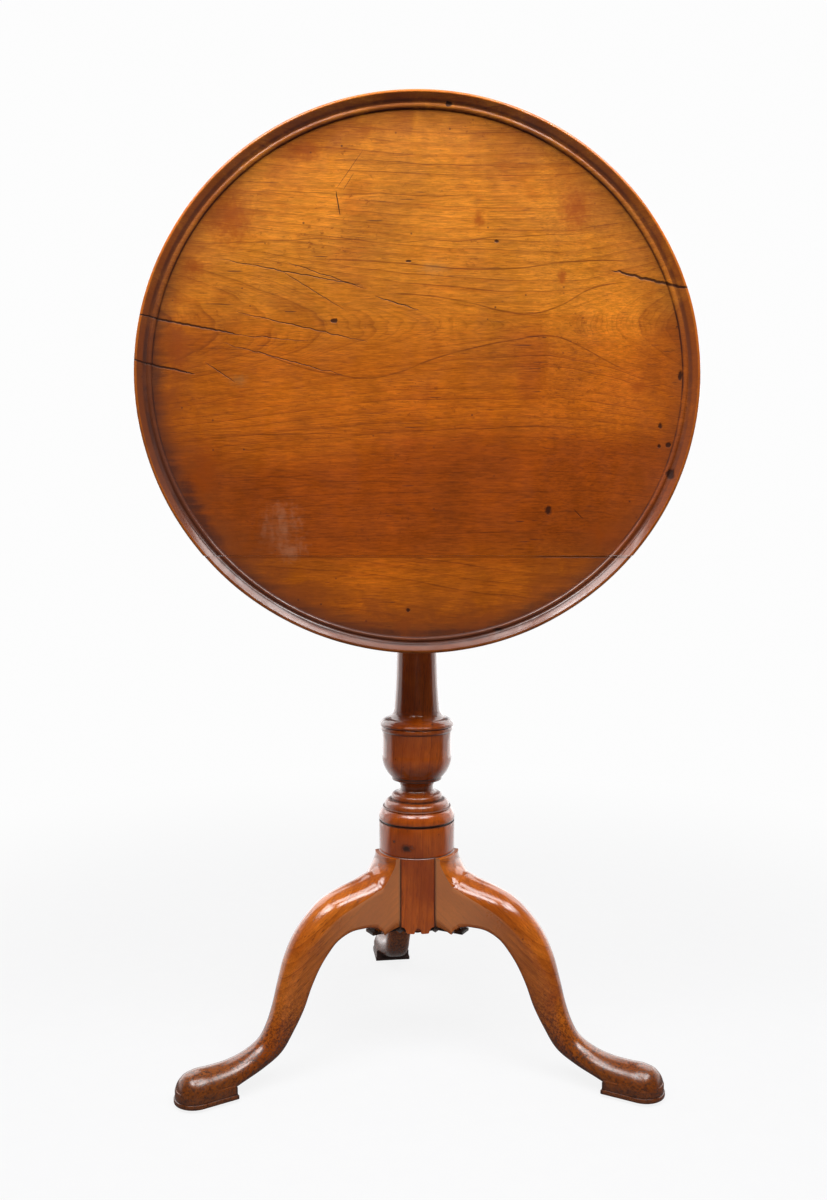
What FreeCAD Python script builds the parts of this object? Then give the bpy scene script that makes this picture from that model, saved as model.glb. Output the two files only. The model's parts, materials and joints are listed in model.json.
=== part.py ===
"""Tray-top tea table on a turned pillar with three cabriole legs, its top tilted upright.

The origin is on the floor under the middle of the footprint, behind the pillar's axis; +Z is up
and the tray faces -Y. The pillar and its legs are drawn about the pillar's axis and moved last.
Pieces under the top are drawn as they lie when the top is level, in a frame whose origin is
the middle of the top's underside, and are then turned upright about the pintles.
"""
import FreeCAD, Part
import os
import re
import Sketcher

SIZES = {
    # tray top
    "top_radius": 285.0,
    "top_thickness": 22.0,
    "dish_depth": 9.0,
    "rim_width": 19.0,
    "edge_round": 6.0,
    "lower_board_width": 102.999,
    # tilting gear
    "block_side": 120.0,
    "block_thickness": 38.0,
    "pivot_inset": 18.0,
    "pintle_radius": 9.0,
    "pintle_length": 18.0,
    "pintle_gap": 0.05,
    "rest_gap": 0.3,
    # battens under the top
    "batten_width": 22.0,
    "batten_depth": 36.0,
    "batten_tip": 14.0,
    "batten_taper": 75.012,
    "batten_end_gap": 59.9925,
    "batten_screw_seat": 13.0,
    "batten_screw_bite": 9.0,
    # pillar from its foot up, each height counted from the one below it
    "collar_foot": 217.2,
    "base_radius": 41.5,
    "collar_line": 0.8,
    "collar_height": 33.2,
    "groove_depth": 1.9,
    "groove_height": 2.0,
    "base_bead_height": 12.6,
    "ring_height": 1.6,
    "ring_step": 1.0,
    "lower_ring_radius": 37.3,
    "ring_cove_height": 7.8,
    "upper_ring_radius": 28.3,
    "neck_lower_height": 11.4,
    "neck_radius": 17.7,
    "neck_upper_height": 8.7,
    "fillet_radius": 27.2,
    "fillet_height": 3.4,
    "urn_foot_radius": 28.2,
    "urn_bowl_height": 26.5,
    "urn_radius": 37.9,
    "urn_wall_height": 23.8,
    "bead_radius": 39.6,
    "bead_height": 6.0,
    "shoulder_radius": 40.7,
    "shoulder_edge": 1.7,
    "shoulder_cove_height": 18.5,
    "column_foot_radius": 24.9,
    "column_swell_height": 61.0,
    "column_radius": 22.0,
    "column_height": 225.7,
    "column_top_radius": 20.5,
    "tenon_radius": 15.0,
    "tenon_gap": 0.1,
    "kerf_width": 2.4,
    "kerf_depth": 30.0,
    "wedge_gap": 0.1,
    # scallops along the pillar's lower edge
    "scallop_height": 6.5,
    "scallop_depth": 9.0,
    "scallop_dip": 1.5,
    "notch_half_width": 3.2,
    "lobe_half_width": 4.6,
    "bite_width": 5.0,
    # legs
    "leg_spread": 60.0,
    "rear_leg_skew": 6.4,
    "leg_reach": 279.0,
    "leg_stock": 45.0,
    "lip_overhang": 4.5,
    "lip_thickness": 2.5,
    "lip_cove": 16.0,
    "tongue_root": 14.0,
    "tongue_end": 18.0,
    "tongue_depth": 16.0,
    "tongue_stop": 10.0,
    "tongue_gap": 0.1,
    # feet
    "foot_width": 41.9985,
    "foot_length": 56.4914,
    "heel_height": 11.9952,
    "sole_thickness": 4.4982,
    "sole_ledge": 1.2,
    "pad_radius": 14.0,
    "pad_thickness": 3.0,
    # brace under the pillar
    "brace_thickness": 3.0,
    "brace_hub_radius": 28.0,
    "brace_arm_width": 16.0,
    "brace_reach": 60.0,
    "bearing_width": 18.0,
    "bearing_height": 14.0,
    "bearing_margin": 0.5,
    "nail_radius": 1.5,
    "nail_length": 16.0,
    "nail_head_radius": 3.4,
    "nail_head": 1.4,
    "nail_gap": 0.05,
    "pillar_nail_reach": 22.0,
    "leg_nail_reach": 52.0,
    # spring catch
    "catch_gap": 2.5,
    "catch_length": 44.0,
    "catch_width": 30.0,
    "catch_depth": 13.0,
    "catch_wall": 1.5,
    "flange_width": 11.0,
    "bolt_width": 10.0,
    "bolt_thickness": 7.0,
    "bolt_bite": 6.0,
    "bolt_tail": 28.0,
    "bolt_travel": 7.0,
    "bolt_gap": 0.4,
    "knob_radius": 5.0,
    "knob_length": 9.0,
    "knob_stem_radius": 2.2,
    "knob_stem_clear": 2.0,
    "spring_span": 18.0,
    "spring_width": 5.0,
    "spring_leaf": 0.7,
    # strike plate
    "strike_width": 36.0,
    "strike_height": 17.0,
    "strike_thickness": 1.5,
    "strike_drop": 0.5,
    "mortise_depth": 9.0,
    # screws
    "screw_radius": 2.0,
    "screw_head_radius": 4.0,
    "screw_head": 3.0,
    "small_screw_radius": 1.3,
    "small_screw_head_radius": 2.6,
    "small_screw_head": 1.3,
    "small_screw_length": 8.0,
    "screw_gap": 0.05,
    # how far each cut runs past the face it opens
    "overrun": 4.0,
}

# Share of a quarter round's radius left outside its middle
ROUND_SHARE = 0.293

# Rim moulding from the outer bead to the field: shares of the rim's width in and of the dish down
RIM_SHARES = {
    "bead_outer": (0.00, 0.295),
    "bead_crown": (0.14, 0.00),
    "bead_inner": (0.28, 0.295),
    "quirk": (0.31, 0.40),
    "cove_middle": (0.43, 0.62),
    "cove_foot": (0.60, 0.74),
    "astragal_crown": (0.74, 0.66),
    "astragal_foot": (0.87, 0.84),
    "field_edge": (0.90, 1.00),
}

# Leg sections from the lip to the toe: place outwards between the pillar's flat and the toe,
# height between sole and lip, tilt in degrees, then depth as a share of that height, and width
# as a share of the leg's stock with crown and lower corner as shares of the width
LEG_SECTION_SHARES = (
    ("neck_upper", 0.0620, 0.7832, 0, 0.3431, 1.000, 0.07, 0.03),
    ("neck_lower", 0.0866, 0.7703, 0, 0.3175, 1.000, 0.15, 0.03),
    ("shoulder", 0.1234, 0.7563, 8, 0.2895, 1.000, 0.27, 0.03),
    ("thigh", 0.2033, 0.7549, 17, 0.2414, 0.989, 0.34, 0.04),
    ("knee_upper", 0.2791, 0.7404, 30, 0.2078, 0.944, 0.39, 0.05),
    ("knee", 0.3495, 0.6989, 45, 0.1751, 0.878, 0.42, 0.07),
    ("knee_lower", 0.4069, 0.6349, 60, 0.1615, 0.811, 0.44, 0.10),
    ("shin_upper", 0.4491, 0.5532, 73, 0.1522, 0.756, 0.46, 0.14),
    ("shin", 0.4818, 0.4514, 78, 0.1424, 0.700, 0.475, 0.18),
    ("shin_lower", 0.5101, 0.3394, 77, 0.1377, 0.667, 0.485, 0.22),
    ("ankle_upper", 0.5400, 0.2544, 69, 0.1307, 0.644, 0.49, 0.25),
    ("ankle", 0.5892, 0.1713, 54, 0.1214, 0.656, 0.475, 0.25),
    ("instep_upper", 0.6641, 0.1176, 36, 0.1186, 0.700, 0.46, 0.20),
    ("instep", 0.7604, 0.0873, 16, 0.1144, 0.811, 0.44, 0.10),
    ("foot_back", 0.8525, 0.0782, 0, 0.1190, 0.911, 0.44, 0.04),
    ("foot_crown", 0.9140, 0.0782, 0, 0.1190, 0.933, 0.43, 0.03),
    ("toe_upper", 0.9611, 0.0700, 0, 0.1027, 0.778, 0.44, 0.03),
    ("toe", 0.9857, 0.0560, 0, 0.0747, 0.533, 0.44, 0.03),
    ("toe_tip", 0.9971, 0.0374, 0, 0.0373, 0.244, 0.44, 0.03),
)
ROOT_CROWN_SHARE = 0.012
ROOT_CORNER_SHARE = 0.03

# Underside of the leg's root from the pillar outwards: place and height as in the sections,
# with the middle of each curve between its ends
ARCH_SHARES = {
    "root": (0.0000, 0.6513),
    "root_curve": (0.0470, 0.6412),
    "cusp": (0.0784, 0.6232),
    "bite_curve": (0.0915, 0.6536),
    "arch_start": (0.1111, 0.6653),
    "arch_crown": (0.2094, 0.6797),
    "arch_end": (0.3487, 0.5859),
}
# Height of the pillar's lower end between sole and lip
BASE_FOOT_SHARE = 0.6209

# Places along half a batten: shares of its half length
BATTEN_SCREW_SHARES = (-0.91, -0.55, 0.25, 0.91)
# Places of the catch's screws along its length
CATCH_SCREW_SHARES = (0.2, 0.8)
KNOB_PLACE_SHARE = 0.5
# Knob outline: shares of its radius and of its length
KNOB_SHARES = {
    "neck": (0.55, 0.22),
    "belly_low": (0.80, 0.26),
    "belly": (1.00, 0.60),
    "crown": (0.55, 0.94),
}
# Middles of the curves of the turned pillar, as shares of each curve's width and height
SHOULDER_COVE_SHARES = (0.29, 0.29)
URN_SHARES = (0.66, 0.31)
NECK_UPPER_SHARES = (0.28, 0.64)
NECK_LOWER_SHARES = (0.27, 0.64)
RING_COVE_SHARES = (0.36, 0.55)
BASE_BEAD_SHARES = (0.80, 0.60)

doc = FreeCAD.newDocument("tray_top_tea_table")
sheet = doc.addObject("Spreadsheet::Sheet", "sizes")
for row, (alias, number) in enumerate(SIZES.items(), start=1):
    sheet.set(f"A{row}", alias)
    sheet.set(f"B{row}", str(number))
    sheet.setAlias(f"B{row}", alias)
doc.recompute()


def bound(text):
    """An expression in which each size's name points at its cell of the sheet."""
    return re.sub(r"[a-z_]+", lambda m: f"sizes.{m[0]}" if m[0] in SIZES else m[0], text)


def value(text):
    return float(sheet.evalExpression(bound(text)))


def new_body(label):
    body = doc.addObject("PartDesign::Body", label)
    body.Label = label
    return body


def new_sketch(body, name, plane, base=("0", "0", "0"), turn="0", about=(0, 0, 1)):
    """A sketch on an origin plane of its body, moved and turned in that plane's own axes."""
    sketch = body.newObject("Sketcher::SketchObject", f"{body.Name}_{name}")
    support = [f for f in body.Origin.OriginFeatures if f.Role == plane][0]
    sketch.AttachmentSupport = [(support, "")]
    sketch.MapMode = "FlatFace"
    turned = FreeCAD.Rotation(FreeCAD.Vector(*about), value(turn))
    place = FreeCAD.Vector(*[value(text) for text in base])
    sketch.AttachmentOffset = FreeCAD.Placement(place, turned)
    for axis, text in zip("xyz", base):
        sketch.setExpression(f"AttachmentOffset.Base.{axis}", bound(text))
    if any(word in SIZES for word in re.findall(r"[a-z_]+", turn)):
        sketch.setExpression("AttachmentOffset.Rotation.Angle", bound(turn))
    return sketch


def hold(sketch, constraints, texts):
    """Add constraints in one step, then tie the measured ones to their expressions."""
    for index, text in zip(sketch.addConstraint(list(constraints)), texts):
        if text is not None:
            sketch.setExpression(f"Constraints[{index}]", bound(text))


def pin_point(geometry, end, across, up):
    """Constraints that hold a point of a sketch at two distances from the sketch's origin."""
    return [
        (Sketcher.Constraint("DistanceX", -1, 1, geometry, end, value(across)), across),
        (Sketcher.Constraint("DistanceY", -1, 1, geometry, end, value(up)), up),
    ]


def draw_outline(sketch, corners):
    """Draw a closed outline of corners (across, up); a third item "via" bends the side through it."""
    runs = []
    for corner in corners:
        if len(corner) == 3:
            runs[-1][1] = corner[:2]
        else:
            runs.append([corner, None])
    points = [FreeCAD.Vector(value(corner[0]), value(corner[1]), 0) for corner, _ in runs]
    ends = []
    held = []
    for index, (corner, via) in enumerate(runs):
        start = points[index]
        finish = points[(index + 1) % len(points)]
        if via is None:
            side = sketch.addGeometry(Part.LineSegment(start, finish))
            ends.append((side, 1, 2))
            continue
        middle = FreeCAD.Vector(value(via[0]), value(via[1]), 0)
        side = sketch.addGeometry(Part.ArcOfCircle(start, middle, finish))
        first = sketch.getPoint(side, 1)
        forward = first.distanceToPoint(start) < first.distanceToPoint(finish)
        ends.append((side, 1, 2) if forward else (side, 2, 1))
        mark = sketch.addGeometry(Part.Point(middle), True)
        held += pin_point(mark, 1, *via)
        held.append((Sketcher.Constraint("PointOnObject", mark, 1, side), None))
    for index, (corner, _) in enumerate(runs):
        side, first, _ = ends[index]
        before, _, last = ends[index - 1]
        held.append((Sketcher.Constraint("Coincident", before, last, side, first), None))
        held += pin_point(side, first, *corner)
    hold(sketch, *zip(*held))
    return sketch


def draw_circle(sketch, across, up, radius):
    centre = FreeCAD.Vector(value(across), value(up), 0)
    circle = sketch.addGeometry(Part.Circle(centre, FreeCAD.Vector(0, 0, 1), value(radius)))
    held = pin_point(circle, 3, across, up)
    held.append((Sketcher.Constraint("Radius", circle, value(radius)), radius))
    hold(sketch, *zip(*held))
    return sketch


def draw_box(sketch, left, low, right, high):
    return draw_outline(sketch, [(left, low), (right, low), (right, high), (left, high)])


def pad(body, sketch, length, side="One side", reverse=False):
    feature = body.newObject("PartDesign::Pad", f"{sketch.Name}_pad")
    feature.Profile = sketch
    feature.SideType = side
    feature.Reversed = reverse
    feature.setExpression("Length", bound(length))
    doc.recompute()
    return feature


def cut(body, sketch, length=None, side="One side", reverse=False):
    """A pocket of a length, or through all, that has to take material away."""
    before = body.Shape.Volume
    feature = body.newObject("PartDesign::Pocket", f"{sketch.Name}_cut")
    feature.Profile = sketch
    feature.SideType = side
    feature.Reversed = reverse
    if length is None:
        feature.Type = "ThroughAll"
    else:
        feature.setExpression("Length", bound(length))
    doc.recompute()
    if body.Shape.Volume >= before:
        raise RuntimeError(f"{feature.Name} cuts nothing")
    return feature


def revolve(body, sketch):
    feature = body.newObject("PartDesign::Revolution", f"{sketch.Name}_turned")
    feature.Profile = sketch
    feature.ReferenceAxis = (sketch, ["V_Axis"])
    feature.Angle = 360
    doc.recompute()
    return feature


def turn_away(body, sketch):
    """A groove turned about the pillar's axis that has to take material away."""
    before = body.Shape.Volume
    feature = body.newObject("PartDesign::Groove", f"{sketch.Name}_groove")
    feature.Profile = sketch
    feature.ReferenceAxis = (sketch, ["V_Axis"])
    feature.Angle = 360
    doc.recompute()
    if body.Shape.Volume >= before:
        raise RuntimeError(f"{feature.Name} cuts nothing")
    return feature


def between(start, finish, share):
    return f"({start}) + {share}*(({finish}) - ({start}))"


def turn_about_pillar(body, angle):
    body.Placement = FreeCAD.Placement(FreeCAD.Vector(), FreeCAD.Rotation(FreeCAD.Vector(0, 0, 1), 0))
    body.setExpression("Placement.Rotation.Axis.z", "1")
    body.setExpression("Placement.Rotation.Angle", bound(angle))


# Heights of the pillar's parts, each from the one below
GROOVE_FOOT = "collar_foot + collar_height"
BEAD_FOOT = f"{GROOVE_FOOT} + groove_height"
LOWER_RING = f"{BEAD_FOOT} + base_bead_height"
RING_COVE = f"{LOWER_RING} + ring_height"
UPPER_RING = f"{RING_COVE} + ring_cove_height"
NECK_FOOT = f"{UPPER_RING} + ring_height"
NECK = f"{NECK_FOOT} + neck_lower_height"
FILLET = f"{NECK} + neck_upper_height"
URN_FOOT = f"{FILLET} + fillet_height"
URN_TURN = f"{URN_FOOT} + urn_bowl_height"
URN_BEAD = f"{URN_TURN} + urn_wall_height"
SHOULDER = f"{URN_BEAD} + bead_height"
SHOULDER_TOP = f"{SHOULDER} + shoulder_edge"
COLUMN_FOOT = f"{SHOULDER_TOP} + shoulder_cove_height"
COLUMN_WAIST = f"{COLUMN_FOOT} + column_swell_height"
COLUMN_TOP = f"{COLUMN_WAIST} + column_height"
BLOCK_TOP = f"{COLUMN_TOP} + block_thickness"

# The legs' height above their soles, and the height of the pillar's lower end
LEG_HEIGHT = "(collar_foot - pad_thickness)"
BASE_FOOT = f"pad_thickness + {BASE_FOOT_SHARE}*{LEG_HEIGHT}"

# Top and battens
BOARD_JOINT = "(top_radius - lower_board_width)"
BATTEN_HALF = "(top_radius - batten_end_gap)"
BATTEN_FLAT = f"({BATTEN_HALF} - batten_taper)"

# The pivot's line, and where the middle of the top's underside stands when the top is upright
PIVOT_BACK = "block_side/2 - pivot_inset"
PIVOT_HEIGHT = f"{BLOCK_TOP} - pivot_inset"
TOP_BACK = f"{PIVOT_BACK} + pivot_inset + rest_gap"
TOP_HEIGHT = f"{PIVOT_HEIGHT} + {PIVOT_BACK}"
PIVOT_DROP = "pivot_inset + rest_gap"


def stand_upright(piece, across="0", back="0", up="0"):
    """Carry a piece drawn under the level top to the upright top: back turns up, up turns front."""
    piece.Placement = FreeCAD.Placement(FreeCAD.Vector(), FreeCAD.Rotation(FreeCAD.Vector(1, 0, 0), 90))
    piece.setExpression("Placement.Base.x", bound(across))
    piece.setExpression("Placement.Base.y", bound(f"-({TOP_BACK}) - ({up})"))
    piece.setExpression("Placement.Base.z", bound(f"{TOP_HEIGHT} + ({back})"))


def cylinder(name, radius, height):
    piece = doc.addObject("Part::Cylinder", name)
    piece.setExpression("Radius", bound(radius))
    piece.setExpression("Height", bound(height))
    return piece


def set_place(piece, across, back, up, rotation):
    piece.Placement = FreeCAD.Placement(FreeCAD.Vector(), rotation)
    for axis, text in zip("xyz", (across, back, up)):
        piece.setExpression(f"Placement.Base.{axis}", bound(text))


def fastener(name, shank, head):
    piece = doc.addObject("Part::Fuse", name)
    piece.Base = shank
    piece.Tool = head
    return piece


def group(label, members):
    piece = doc.addObject("Part::Compound", label)
    piece.Label = label
    piece.Links = members
    return piece


# Tray top

def rim_point(name):
    inward, down = RIM_SHARES[name]
    return f"top_radius - {inward}*rim_width", f"top_thickness - {down}*dish_depth"


def tray_board(label, keep_rear):
    """One board of the dished round top, cut off along the straight glue joint."""
    body = new_body(label)
    outline = new_sketch(body, "outline", "XZ_Plane")
    draw_outline(outline, [
        ("0", "0"),
        ("top_radius - edge_round", "0"),
        (f"top_radius - {ROUND_SHARE}*edge_round", f"{ROUND_SHARE}*edge_round", "via"),
        ("top_radius", "edge_round"),
        rim_point("bead_outer"),
        (*rim_point("bead_crown"), "via"),
        rim_point("bead_inner"),
        rim_point("quirk"),
        (*rim_point("cove_middle"), "via"),
        rim_point("cove_foot"),
        (*rim_point("astragal_crown"), "via"),
        rim_point("astragal_foot"),
        rim_point("field_edge"),
        ("0", "top_thickness - dish_depth"),
    ])
    revolve(body, outline)
    waste = new_sketch(body, "waste", "XY_Plane")
    wide = "top_radius + overrun"
    far = f"-({wide})" if keep_rear else wide
    draw_box(waste, f"-({wide})", f"-{BOARD_JOINT}", wide, far)
    cut(body, waste, side="Symmetric")
    holes = new_sketch(body, "screw_holes", "XY_Plane")
    for across, back in batten_screw_places():
        if (value(back) > -value(BOARD_JOINT)) == keep_rear:
            draw_circle(holes, across, back, "screw_radius + screw_gap")
    cut(body, holes, "batten_screw_bite + screw_gap", reverse=True)
    if keep_rear:
        pilots = new_sketch(body, "catch_pilots", "XY_Plane")
        for across, back in catch_screw_places():
            draw_circle(pilots, across, back, "small_screw_radius + screw_gap")
        cut(body, pilots, "small_screw_length + screw_gap", reverse=True)
    stand_upright(body)
    return body


BATTEN_MIDDLE = "block_side/2 + rest_gap + batten_width/2"


def batten_screw_places():
    return [
        (f"{side}*({BATTEN_MIDDLE})", f"{share}*{BATTEN_HALF}")
        for side in (-1, 1)
        for share in BATTEN_SCREW_SHARES
    ]


CATCH_FRONT = "block_side/2 + strike_thickness + catch_gap"
CATCH_SCREW_ACROSS = "catch_width/2 + flange_width/2"


def catch_screw_places():
    return [
        (f"{side}*({CATCH_SCREW_ACROSS})", f"{CATCH_FRONT} + {share}*catch_length")
        for side in (-1, 1)
        for share in CATCH_SCREW_SHARES
    ]


# Battens

def batten(label, side):
    """A tapered bearer beside the block, bored for the pintle and counterbored for its screws."""
    body = new_body(label)
    outline = new_sketch(body, "outline", "YZ_Plane", ("0", "0", f"{side}*({BATTEN_MIDDLE})"))
    draw_outline(outline, [
        (f"-{BATTEN_HALF}", "-batten_tip"),
        (f"-{BATTEN_FLAT}", "-batten_depth"),
        (BATTEN_FLAT, "-batten_depth"),
        (BATTEN_HALF, "-batten_tip"),
        (BATTEN_HALF, "0"),
        (f"-{BATTEN_HALF}", "0"),
    ])
    draw_circle(outline, f"-({PIVOT_BACK})", f"-({PIVOT_DROP})", "pintle_radius + pintle_gap")
    pad(body, outline, "batten_width", side="Symmetric")
    places = [p for p in batten_screw_places() if (value(p[0]) > 0) == (side > 0)]
    holes = new_sketch(body, "screw_holes", "XY_Plane")
    seats = new_sketch(body, "screw_seats", "XY_Plane", ("0", "0", "-batten_screw_seat"))
    for across, back in places:
        draw_circle(holes, across, back, "screw_radius + screw_gap")
        draw_circle(seats, across, back, "screw_head_radius + screw_gap")
    cut(body, holes)
    cut(body, seats)
    stand_upright(body)
    return body


def batten_screws():
    screws = []
    for index, (across, back) in enumerate(batten_screw_places()):
        shank = cylinder(f"screw_shank_{index}", "screw_radius", "batten_screw_seat + batten_screw_bite")
        stand_upright(shank, across, back, "-batten_screw_seat")
        head = cylinder(f"screw_head_{index}", "screw_head_radius", "screw_head")
        stand_upright(head, across, back, "-batten_screw_seat - screw_head")
        screws.append(fastener(f"screw_{index}", shank, head))
    return group("batten_screws", screws)


# Pivot block

STRIKE_MIDDLE = f"{BLOCK_TOP} + rest_gap - catch_depth + catch_wall + bolt_gap + bolt_thickness/2"
SLOT_HALF_WIDTH = "bolt_width/2 + bolt_gap"
SLOT_HALF_HEIGHT = "bolt_thickness/2 + bolt_gap"
STRIKE_SCREW_ACROSS = "(strike_width/2 + bolt_width/2 + bolt_gap)/2"


def pivot_block():
    """The square block with its front upper edge rounded about the pintles' line."""
    body = new_body("pivot_block")
    side = new_sketch(body, "side", "YZ_Plane")
    half = "block_side/2"
    draw_outline(side, [
        (f"-{half}", COLUMN_TOP),
        (half, COLUMN_TOP),
        (half, BLOCK_TOP),
        (f"-({PIVOT_BACK})", BLOCK_TOP),
        (f"-{half} + {ROUND_SHARE}*pivot_inset", f"{BLOCK_TOP} - {ROUND_SHARE}*pivot_inset", "via"),
        (f"-{half}", PIVOT_HEIGHT),
    ])
    pad(body, side, "block_side", side="Symmetric")
    pintles = new_sketch(body, "pintles", "YZ_Plane")
    draw_circle(pintles, f"-({PIVOT_BACK})", PIVOT_HEIGHT, "pintle_radius")
    pad(body, pintles, "block_side + 2*pintle_length", side="Symmetric")
    mortise = new_sketch(body, "tenon_hole", "XY_Plane", ("0", "0", BLOCK_TOP))
    draw_circle(mortise, "0", "0", "tenon_radius + tenon_gap")
    cut(body, mortise)
    pocket = new_sketch(body, "bolt_mortise", "XZ_Plane", ("0", "0", f"-{half}"))
    draw_box(pocket, f"-({SLOT_HALF_WIDTH})", f"{STRIKE_MIDDLE} - ({SLOT_HALF_HEIGHT})",
             SLOT_HALF_WIDTH, f"{STRIKE_MIDDLE} + {SLOT_HALF_HEIGHT}")
    cut(body, pocket, "mortise_depth", reverse=True)
    pilots = new_sketch(body, "strike_pilots", "XZ_Plane", ("0", "0", f"-{half}"))
    for sign in (-1, 1):
        draw_circle(pilots, f"{sign}*{STRIKE_SCREW_ACROSS}", STRIKE_MIDDLE,
                    "small_screw_radius + screw_gap")
    cut(body, pilots, "small_screw_length", reverse=True)
    return body


def strike_plate():
    body = new_body("strike_plate")
    plate = new_sketch(body, "plate", "XZ_Plane", ("0", "0", "-block_side/2"))
    draw_box(plate, "-strike_width/2", f"{BLOCK_TOP} - strike_drop - strike_height",
             "strike_width/2", f"{BLOCK_TOP} - strike_drop")
    draw_box(plate, f"-({SLOT_HALF_WIDTH})", f"{STRIKE_MIDDLE} - ({SLOT_HALF_HEIGHT})",
             SLOT_HALF_WIDTH, f"{STRIKE_MIDDLE} + {SLOT_HALF_HEIGHT}")
    for sign in (-1, 1):
        draw_circle(plate, f"{sign}*{STRIKE_SCREW_ACROSS}", STRIKE_MIDDLE,
                    "small_screw_radius + screw_gap")
    pad(body, plate, "strike_thickness", reverse=True)
    return body


def strike_screws():
    inward = FreeCAD.Rotation(FreeCAD.Vector(1, 0, 0), 90)
    face = "block_side/2 + strike_thickness"
    screws = []
    for index, sign in enumerate((-1, 1)):
        across = f"{sign}*{STRIKE_SCREW_ACROSS}"
        shank = cylinder(f"strike_shank_{index}", "small_screw_radius", "small_screw_length")
        set_place(shank, across, face, STRIKE_MIDDLE, inward)
        head = cylinder(f"strike_head_{index}", "small_screw_head_radius", "small_screw_head")
        set_place(head, across, f"{face} + small_screw_head", STRIKE_MIDDLE, inward)
        screws.append(fastener(f"strike_screw_{index}", shank, head))
    return group("strike_screws", screws)


# Pillar

FLAT_REACH = "sqrt(base_radius^2 - (leg_stock/2)^2)"
LEG_ANGLES = {
    "front_left": "-leg_spread - 90",
    "front_right": "leg_spread - 90",
    "rear": "90 + rear_leg_skew",
}
# Directions halfway between two legs, counted from the front
BAY_ANGLES = {
    "front_bay": "0",
    "right_bay": "(leg_spread + 180 + rear_leg_skew)/2",
    "left_bay": "-(leg_spread + 180 - rear_leg_skew)/2",
}


def curve(inner, low, outer, high, shares):
    """A point between two radii and two heights, for the middle of a turned curve."""
    return between(inner, outer, shares[0]), between(low, high, shares[1]), "via"


def pillar():
    """The whole turned pillar: tenon, column, urn, rings, collar and base with leg sockets."""
    body = new_body("pillar")
    outline = new_sketch(body, "outline", "XZ_Plane")
    draw_outline(outline, [
        ("0", BASE_FOOT),
        ("base_radius", BASE_FOOT),
        ("base_radius", "collar_foot"),
        ("base_radius - collar_line", "collar_foot + collar_line"),
        ("base_radius", "collar_foot + 2*collar_line"),
        ("base_radius", GROOVE_FOOT),
        ("base_radius - groove_depth", GROOVE_FOOT),
        ("base_radius - groove_depth", BEAD_FOOT),
        ("base_radius", BEAD_FOOT),
        curve("lower_ring_radius - ring_step", BEAD_FOOT, "base_radius", LOWER_RING, BASE_BEAD_SHARES),
        ("lower_ring_radius - ring_step", LOWER_RING),
        ("lower_ring_radius", LOWER_RING),
        ("lower_ring_radius", RING_COVE),
        curve("upper_ring_radius - ring_step", RING_COVE, "lower_ring_radius", UPPER_RING,
              RING_COVE_SHARES),
        ("upper_ring_radius - ring_step", UPPER_RING),
        ("upper_ring_radius", UPPER_RING),
        ("upper_ring_radius", NECK_FOOT),
        curve("neck_radius", NECK, "upper_ring_radius", NECK_FOOT, NECK_LOWER_SHARES),
        ("neck_radius", NECK),
        curve("neck_radius", NECK, "fillet_radius - ring_step", FILLET, NECK_UPPER_SHARES),
        ("fillet_radius - ring_step", FILLET),
        ("fillet_radius", FILLET),
        ("fillet_radius", URN_FOOT),
        ("urn_foot_radius", URN_FOOT),
        curve("urn_foot_radius", URN_FOOT, "urn_radius", URN_TURN, URN_SHARES),
        ("urn_radius", URN_TURN),
        ("urn_radius", URN_BEAD),
        ("bead_radius", f"{URN_BEAD} + bead_height/2", "via"),
        ("urn_radius", SHOULDER),
        ("shoulder_radius", SHOULDER),
        ("shoulder_radius", SHOULDER_TOP),
        curve("column_foot_radius", SHOULDER_TOP, "shoulder_radius", COLUMN_FOOT, SHOULDER_COVE_SHARES),
        ("column_foot_radius", COLUMN_FOOT),
        ("column_radius", COLUMN_WAIST),
        ("column_top_radius", COLUMN_TOP),
        ("tenon_radius", COLUMN_TOP),
        ("tenon_radius", BLOCK_TOP),
        ("0", BLOCK_TOP),
    ])
    revolve(body, outline)
    for name, angle in LEG_ANGLES.items():
        flat = new_sketch(body, f"{name}_flat", "XY_Plane", ("0", "0", "collar_foot"), angle)
        draw_box(flat, FLAT_REACH, "-base_radius", "base_radius + overrun", "base_radius")
        cut(body, flat)
        top = ("0", "0", "collar_foot - tongue_stop + tongue_gap")
        socket = new_sketch(body, f"{name}_socket", "XY_Plane", top, angle)
        draw_tongue(socket, "tongue_gap")
        cut(body, socket)
    for name, angle in BAY_ANGLES.items():
        scallop = new_sketch(body, name, "XZ_Plane", ("0", "0", "0"), angle, (0, 1, 0))
        scallop.setExpression("AttachmentOffset.Base.x", bound(f"base_radius*sin({angle})"))
        scallop.setExpression("AttachmentOffset.Base.z", bound(f"base_radius*cos({angle})"))
        draw_scallop(scallop)
        cut(body, scallop, "scallop_depth")
        nail = new_sketch(body, f"{name}_nail", "XY_Plane", ("0", "0", BASE_FOOT), f"{angle} - 90")
        draw_circle(nail, "pillar_nail_reach", "0", "nail_radius + nail_gap")
        cut(body, nail, "nail_length", reverse=True)
    kerf = new_sketch(body, "kerf", "XY_Plane", ("0", "0", BLOCK_TOP))
    draw_box(kerf, "-tenon_radius - overrun", "-kerf_width/2", "tenon_radius + overrun", "kerf_width/2")
    cut(body, kerf, "kerf_depth")
    return body


def draw_tongue(sketch, gap):
    """A dovetail, narrow at the pillar's flat and wide at its inner end."""
    inner = f"{FLAT_REACH} - tongue_depth - {gap}"
    draw_outline(sketch, [
        (inner, f"-tongue_end/2 - {gap}"),
        (f"{FLAT_REACH} + overrun", f"-tongue_root/2 - {gap}"),
        (f"{FLAT_REACH} + overrun", f"tongue_root/2 + {gap}"),
        (inner, f"tongue_end/2 + {gap}"),
    ])


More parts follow.
